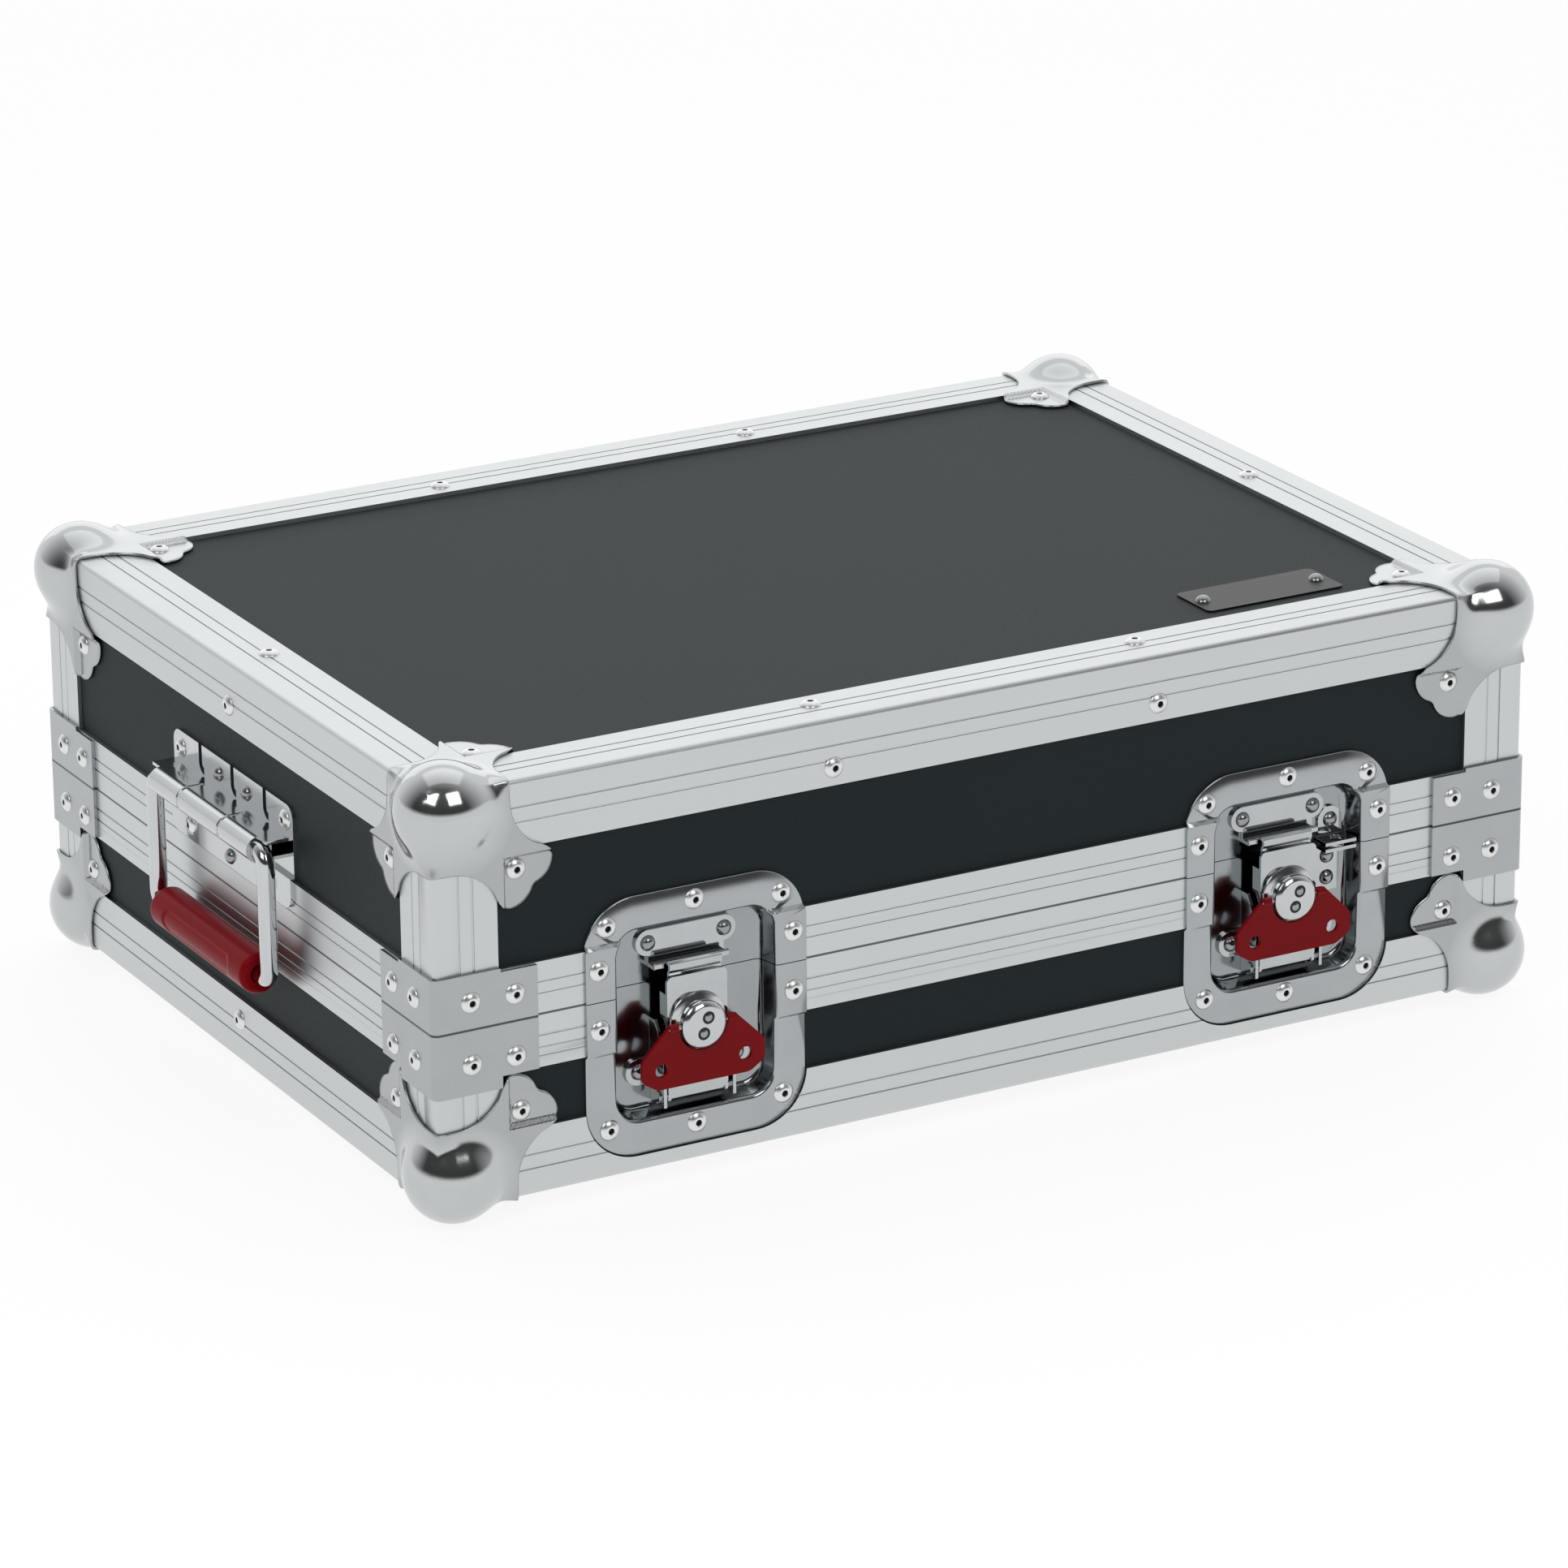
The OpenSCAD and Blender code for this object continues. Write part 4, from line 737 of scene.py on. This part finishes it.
# ---------- side handles ----------
# A riveted spring plate folded round a barrel in three crimped lengths, a
# chromed rod bent to a closed bail, and a red grip moulded round the rod.
crimp_at = 0.0208
spring_steel = Finish("handle_plate", Metallic=1.0)
x, y, _ = spring_steel.axes()
smear = spring_steel.grain(0.012, 3.0)
on_barrel = (abs(x) - half_long).between(0.0035, 0.006)
crimp = abs(y).near(crimp_at, 0.0011) * on_barrel
lip = abs(y).between(crimp_at, crimp_at + 0.0004) * on_barrel
spring_steel.put(Base_Color=spring_steel.blend(smear, (0.50, 0.520, 0.532), (0.57, 0.587, 0.597)),
                 Roughness=0.11 + 0.07 * smear)
spring_steel.bump(lip * 0.3 - crimp, 0.0006)
rod_steel = Finish("bail_rod", Metallic=1.0)
streak = rod_steel.grain(0.004, 2.0, (1, 1, 0.15))
rod_steel.put(Base_Color=rod_steel.blend(streak, (0.52, 0.538, 0.548), (0.60, 0.615, 0.625)),
              Roughness=0.04 + 0.05 * streak)
grip_plastic = Finish("grip_plastic", IOR=1.16)
mould = grip_plastic.grain(0.0012, 3.0)
sweep = grip_plastic.grain(0.03, 2.0)
dye = mould * 0.4 + sweep * 0.6
grip_plastic.put(Base_Color=grip_plastic.blend(dye, (0.245, 0.0016, 0.0060), (0.340, 0.0030, 0.0095)),
                 Roughness=0.24 + 0.10 * mould)
grip_plastic.bump(mould, 0.00003)
grip_low, grip_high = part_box("grip_left")
grip_middle, grip_radius, grip_half = (grip_low + grip_high) / 2, (grip_high.z - grip_low.z) / 2, grip_high.y
end_radius = 0.0026
panel_half, panel_radius, panel_depth = 0.0285, 0.0052, 0.00055


def moulded(column, row):
    """A point of the grip's skin: rounded ends, and a long shallow panel sunk in its outer face."""
    turn = math.tau * column / 96
    along, radius = grip_rings[row]
    off_panel = max(abs(along) - panel_half, 0)
    across = math.radians(abs((math.degrees(turn) + 180) % 360 - 180)) * grip_radius
    past = math.hypot(off_panel, across) - panel_radius
    radius -= panel_depth * (1 - ease((past + 0.0006) / 0.0012))
    return grip_middle + Vector((-radius * math.cos(turn), along, -radius * math.sin(turn)))


ends = []
for k in range(8):
    turn = math.pi / 2 * k / 7
    shrink = end_radius * (1 - math.cos(turn))
    ends.append((grip_half - end_radius * (1 - math.sin(turn)), grip_radius - shrink))
ends += [(grip_half, 0.0054), (grip_half - 0.0003, 0.0046), (grip_half - 0.0016, 0.0041)]
straight = [(grip_half - end_radius) * (k / 60) for k in range(-59, 60)]
grip_rings = [(-a, r) for a, r in reversed(ends)] + [(a, grip_radius) for a in straight] + ends
for side, hand in ((-1, "left"), (1, "right")):
    eased(f"handle_plate_{hand}", spring_steel)
    eased(f"bail_{hand}", rod_steel, width=0)
    sleeve = bmesh.new()
    woven(sleeve, 96, len(grip_rings) - 1, moulded)
    bmesh.ops.remove_doubles(sleeve, verts=sleeve.verts, dist=0.00001)
    if side > 0:
        bmesh.ops.scale(sleeve, vec=(-1, 1, 1), verts=sleeve.verts)
    bmesh.ops.recalc_face_normals(sleeve, faces=sleeve.faces)
    outer = max(sleeve.faces, key=lambda face: abs(face.calc_center_median().x))
    if outer.normal.x * side < 0:
        bmesh.ops.reverse_faces(sleeve, faces=sleeve.faces)
    joined(sleeve, f"moulded_grip_{hand}", grip_plastic, f"bail_{hand}", "red_grip", f"grip_{hand}")

# ---------- badge ----------
# A thin black anodised plate, left blank, held on the lid by two rivets.
anodised = Finish("badge_black", Specular_IOR_Level=0.18)
fleck = anodised.grain(0.002, 3.0)
brushed = anodised.grain(0.0008, 2.0, (0.02, 1, 1))
anodised.put(Base_Color=anodised.blend(fleck, (0.005, 0.006, 0.007), (0.011, 0.012, 0.013)),
             Roughness=0.24 + 0.12 * brushed)
anodised.bump(brushed, 0.00001)
eased("badge_plate", anodised)

# ---------- foam lining ----------
# Charcoal open-cell foam cut from sheet: a floor pad and walls in the base, a
# convoluted pad and walls in the lid, and half-lapped boards that part the
# well. Cut edges are a little soft, and the walls' faces wander as sawn foam does.
foam = Finish("foam", Specular_IOR_Level=0.1, Roughness=0.95)
cell = foam.grain(0.0011, 4.0, rough=0.7)
pore = foam.add("ShaderNodeTexVoronoi", {"feature": "F1"}, {"Vector": foam.place(), "Scale": 900.0})
shade = foam.grain(0.05, 2.0)
mottle = cell * 0.55 + shade * 0.25 + pore * 0.35
foam.put(Base_Color=foam.blend(mottle, (0.012, 0.013, 0.014), (0.075, 0.078, 0.082)))
foam.bump(pore * 0.7 + cell * 0.6, 0.0005)


def sawn(shape, low, high):
    """A cut block of foam between two corners, its faces cut to a grid and bowed in a little."""
    step, bow = 0.012, 0.0004

    def within(vert):
        return all(low[i] - 1e-6 < vert.co[i] < high[i] + 1e-6 for i in range(3))

    made = bmesh.ops.create_cube(shape, size=1.0)["verts"]
    bmesh.ops.scale(shape, vec=high - low, verts=made)
    bmesh.ops.translate(shape, vec=(low + high) / 2, verts=made)
    for axis in range(3):
        count = max(2, round((high - low)[axis] / step))
        for k in range(1, count):
            cut, across = Vector(low), Vector((0, 0, 0))
            cut[axis] += (high - low)[axis] * k / count
            across[axis] = 1
            own = {v for v in shape.verts if within(v)}
            parts = list(own) + [e for e in shape.edges if e.verts[0] in own and e.verts[1] in own]
            parts += [f for f in shape.faces if all(v in own for v in f.verts)]
            bmesh.ops.bisect_plane(shape, geom=parts, plane_co=cut, plane_no=across)
    centre = (low + high) / 2
    for vert in filter(within, shape.verts):
        wave = math.sin(vert.co.x * 61 + vert.co.z * 37) * math.sin(vert.co.y * 53 + 1.3)
        vert.co += (centre - vert.co).normalized() * bow * (0.6 + 0.4 * wave)


def lined(shape, name, body, node, soften=1.6 * mm):
    """A foam piece with its edges softened to a width."""
    bmesh.ops.recalc_face_normals(shape, faces=shape.faces)
    piece = joined(shape, name, foam, body, "foam", node)
    if soften:
        edge = piece.modifiers.new("soft_edge", "BEVEL")
        edge.width, edge.segments, edge.limit_method, edge.angle_limit = soften, 3, "ANGLE", math.radians(40)
    piece.data.set_sharp_from_angle(angle=math.radians(60))


for body, node in (("base", "base_foam_walls"), ("lid", "lid_foam_walls"), ("base", "base_foam_floor")):
    cut_foam = bmesh.new()
    for low, high in islands(node):
        sawn(cut_foam, low, high)
    lined(cut_foam, node.replace("foam_", "") + "_lining", body, node)

half_slot = 0.0042
for name, others, axis in (("dividers_long", "dividers_cross", 1), ("dividers_cross", "dividers_long", 0)):
    boards = bmesh.new()
    along = 1 - axis
    crossing = sorted({round(((low + high) / 2)[along], 5) for low, high in islands(others)})
    for low, high in islands(name):
        slotted, plain_edge = (high.z, low.z) if axis == 1 else (low.z, high.z)
        lap = (low.z + high.z) / 2
        path = [(low[along], slotted)]
        for c in crossing:
            near_side, far_side = c - half_slot, c + half_slot
            path += [(near_side, slotted), (near_side, lap), (far_side, lap), (far_side, slotted)]
        path += [(high[along], slotted), (high[along], plain_edge), (low[along], plain_edge)]
        ring = []
        for reach, height in path:
            corner = [0.0, 0.0, height]
            corner[along], corner[axis] = reach, low[axis]
            ring.append(boards.verts.new(corner))
        face = boards.faces.new(ring)
        grown = bmesh.ops.extrude_face_region(boards, geom=[face])["geom"]
        shift = [0.0, 0.0, 0.0]
        shift[axis] = high[axis] - low[axis]
        bmesh.ops.translate(boards, vec=shift, verts=[g for g in grown if isinstance(g, bmesh.types.BMVert)])
    lined(boards, name + "_foam", "base", name, soften=0.8 * mm)

low, high = (Vector(c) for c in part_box("lid_foam_pad"))
pad = bmesh.new()
columns, rows, pitch, relief = 140, 100, 0.0184, 0.0035


def convoluted(column, row):
    """A point of the egg-crate face: rows of rounded crests and hollows."""
    x = low.x + (high.x - low.x) * column / columns
    y = low.y + (high.y - low.y) * row / rows
    crest = math.sin(math.tau * x / pitch) * math.sin(math.tau * y / pitch)
    return Vector((x, y, low.z + relief * (1 - crest)))


woven(pad, columns, rows, convoluted)
rim = [e for e in pad.edges if e.is_boundary]
skirt = bmesh.ops.extrude_edge_only(pad, edges=rim)["geom"]
for vert in (g for g in skirt if isinstance(g, bmesh.types.BMVert)):
    vert.co.z = high.z
bmesh.ops.edgeloop_fill(pad, edges=[e for e in pad.edges if e.is_boundary])
lined(pad, "lid_egg_crate", "lid", "lid_foam_pad", soften=0)
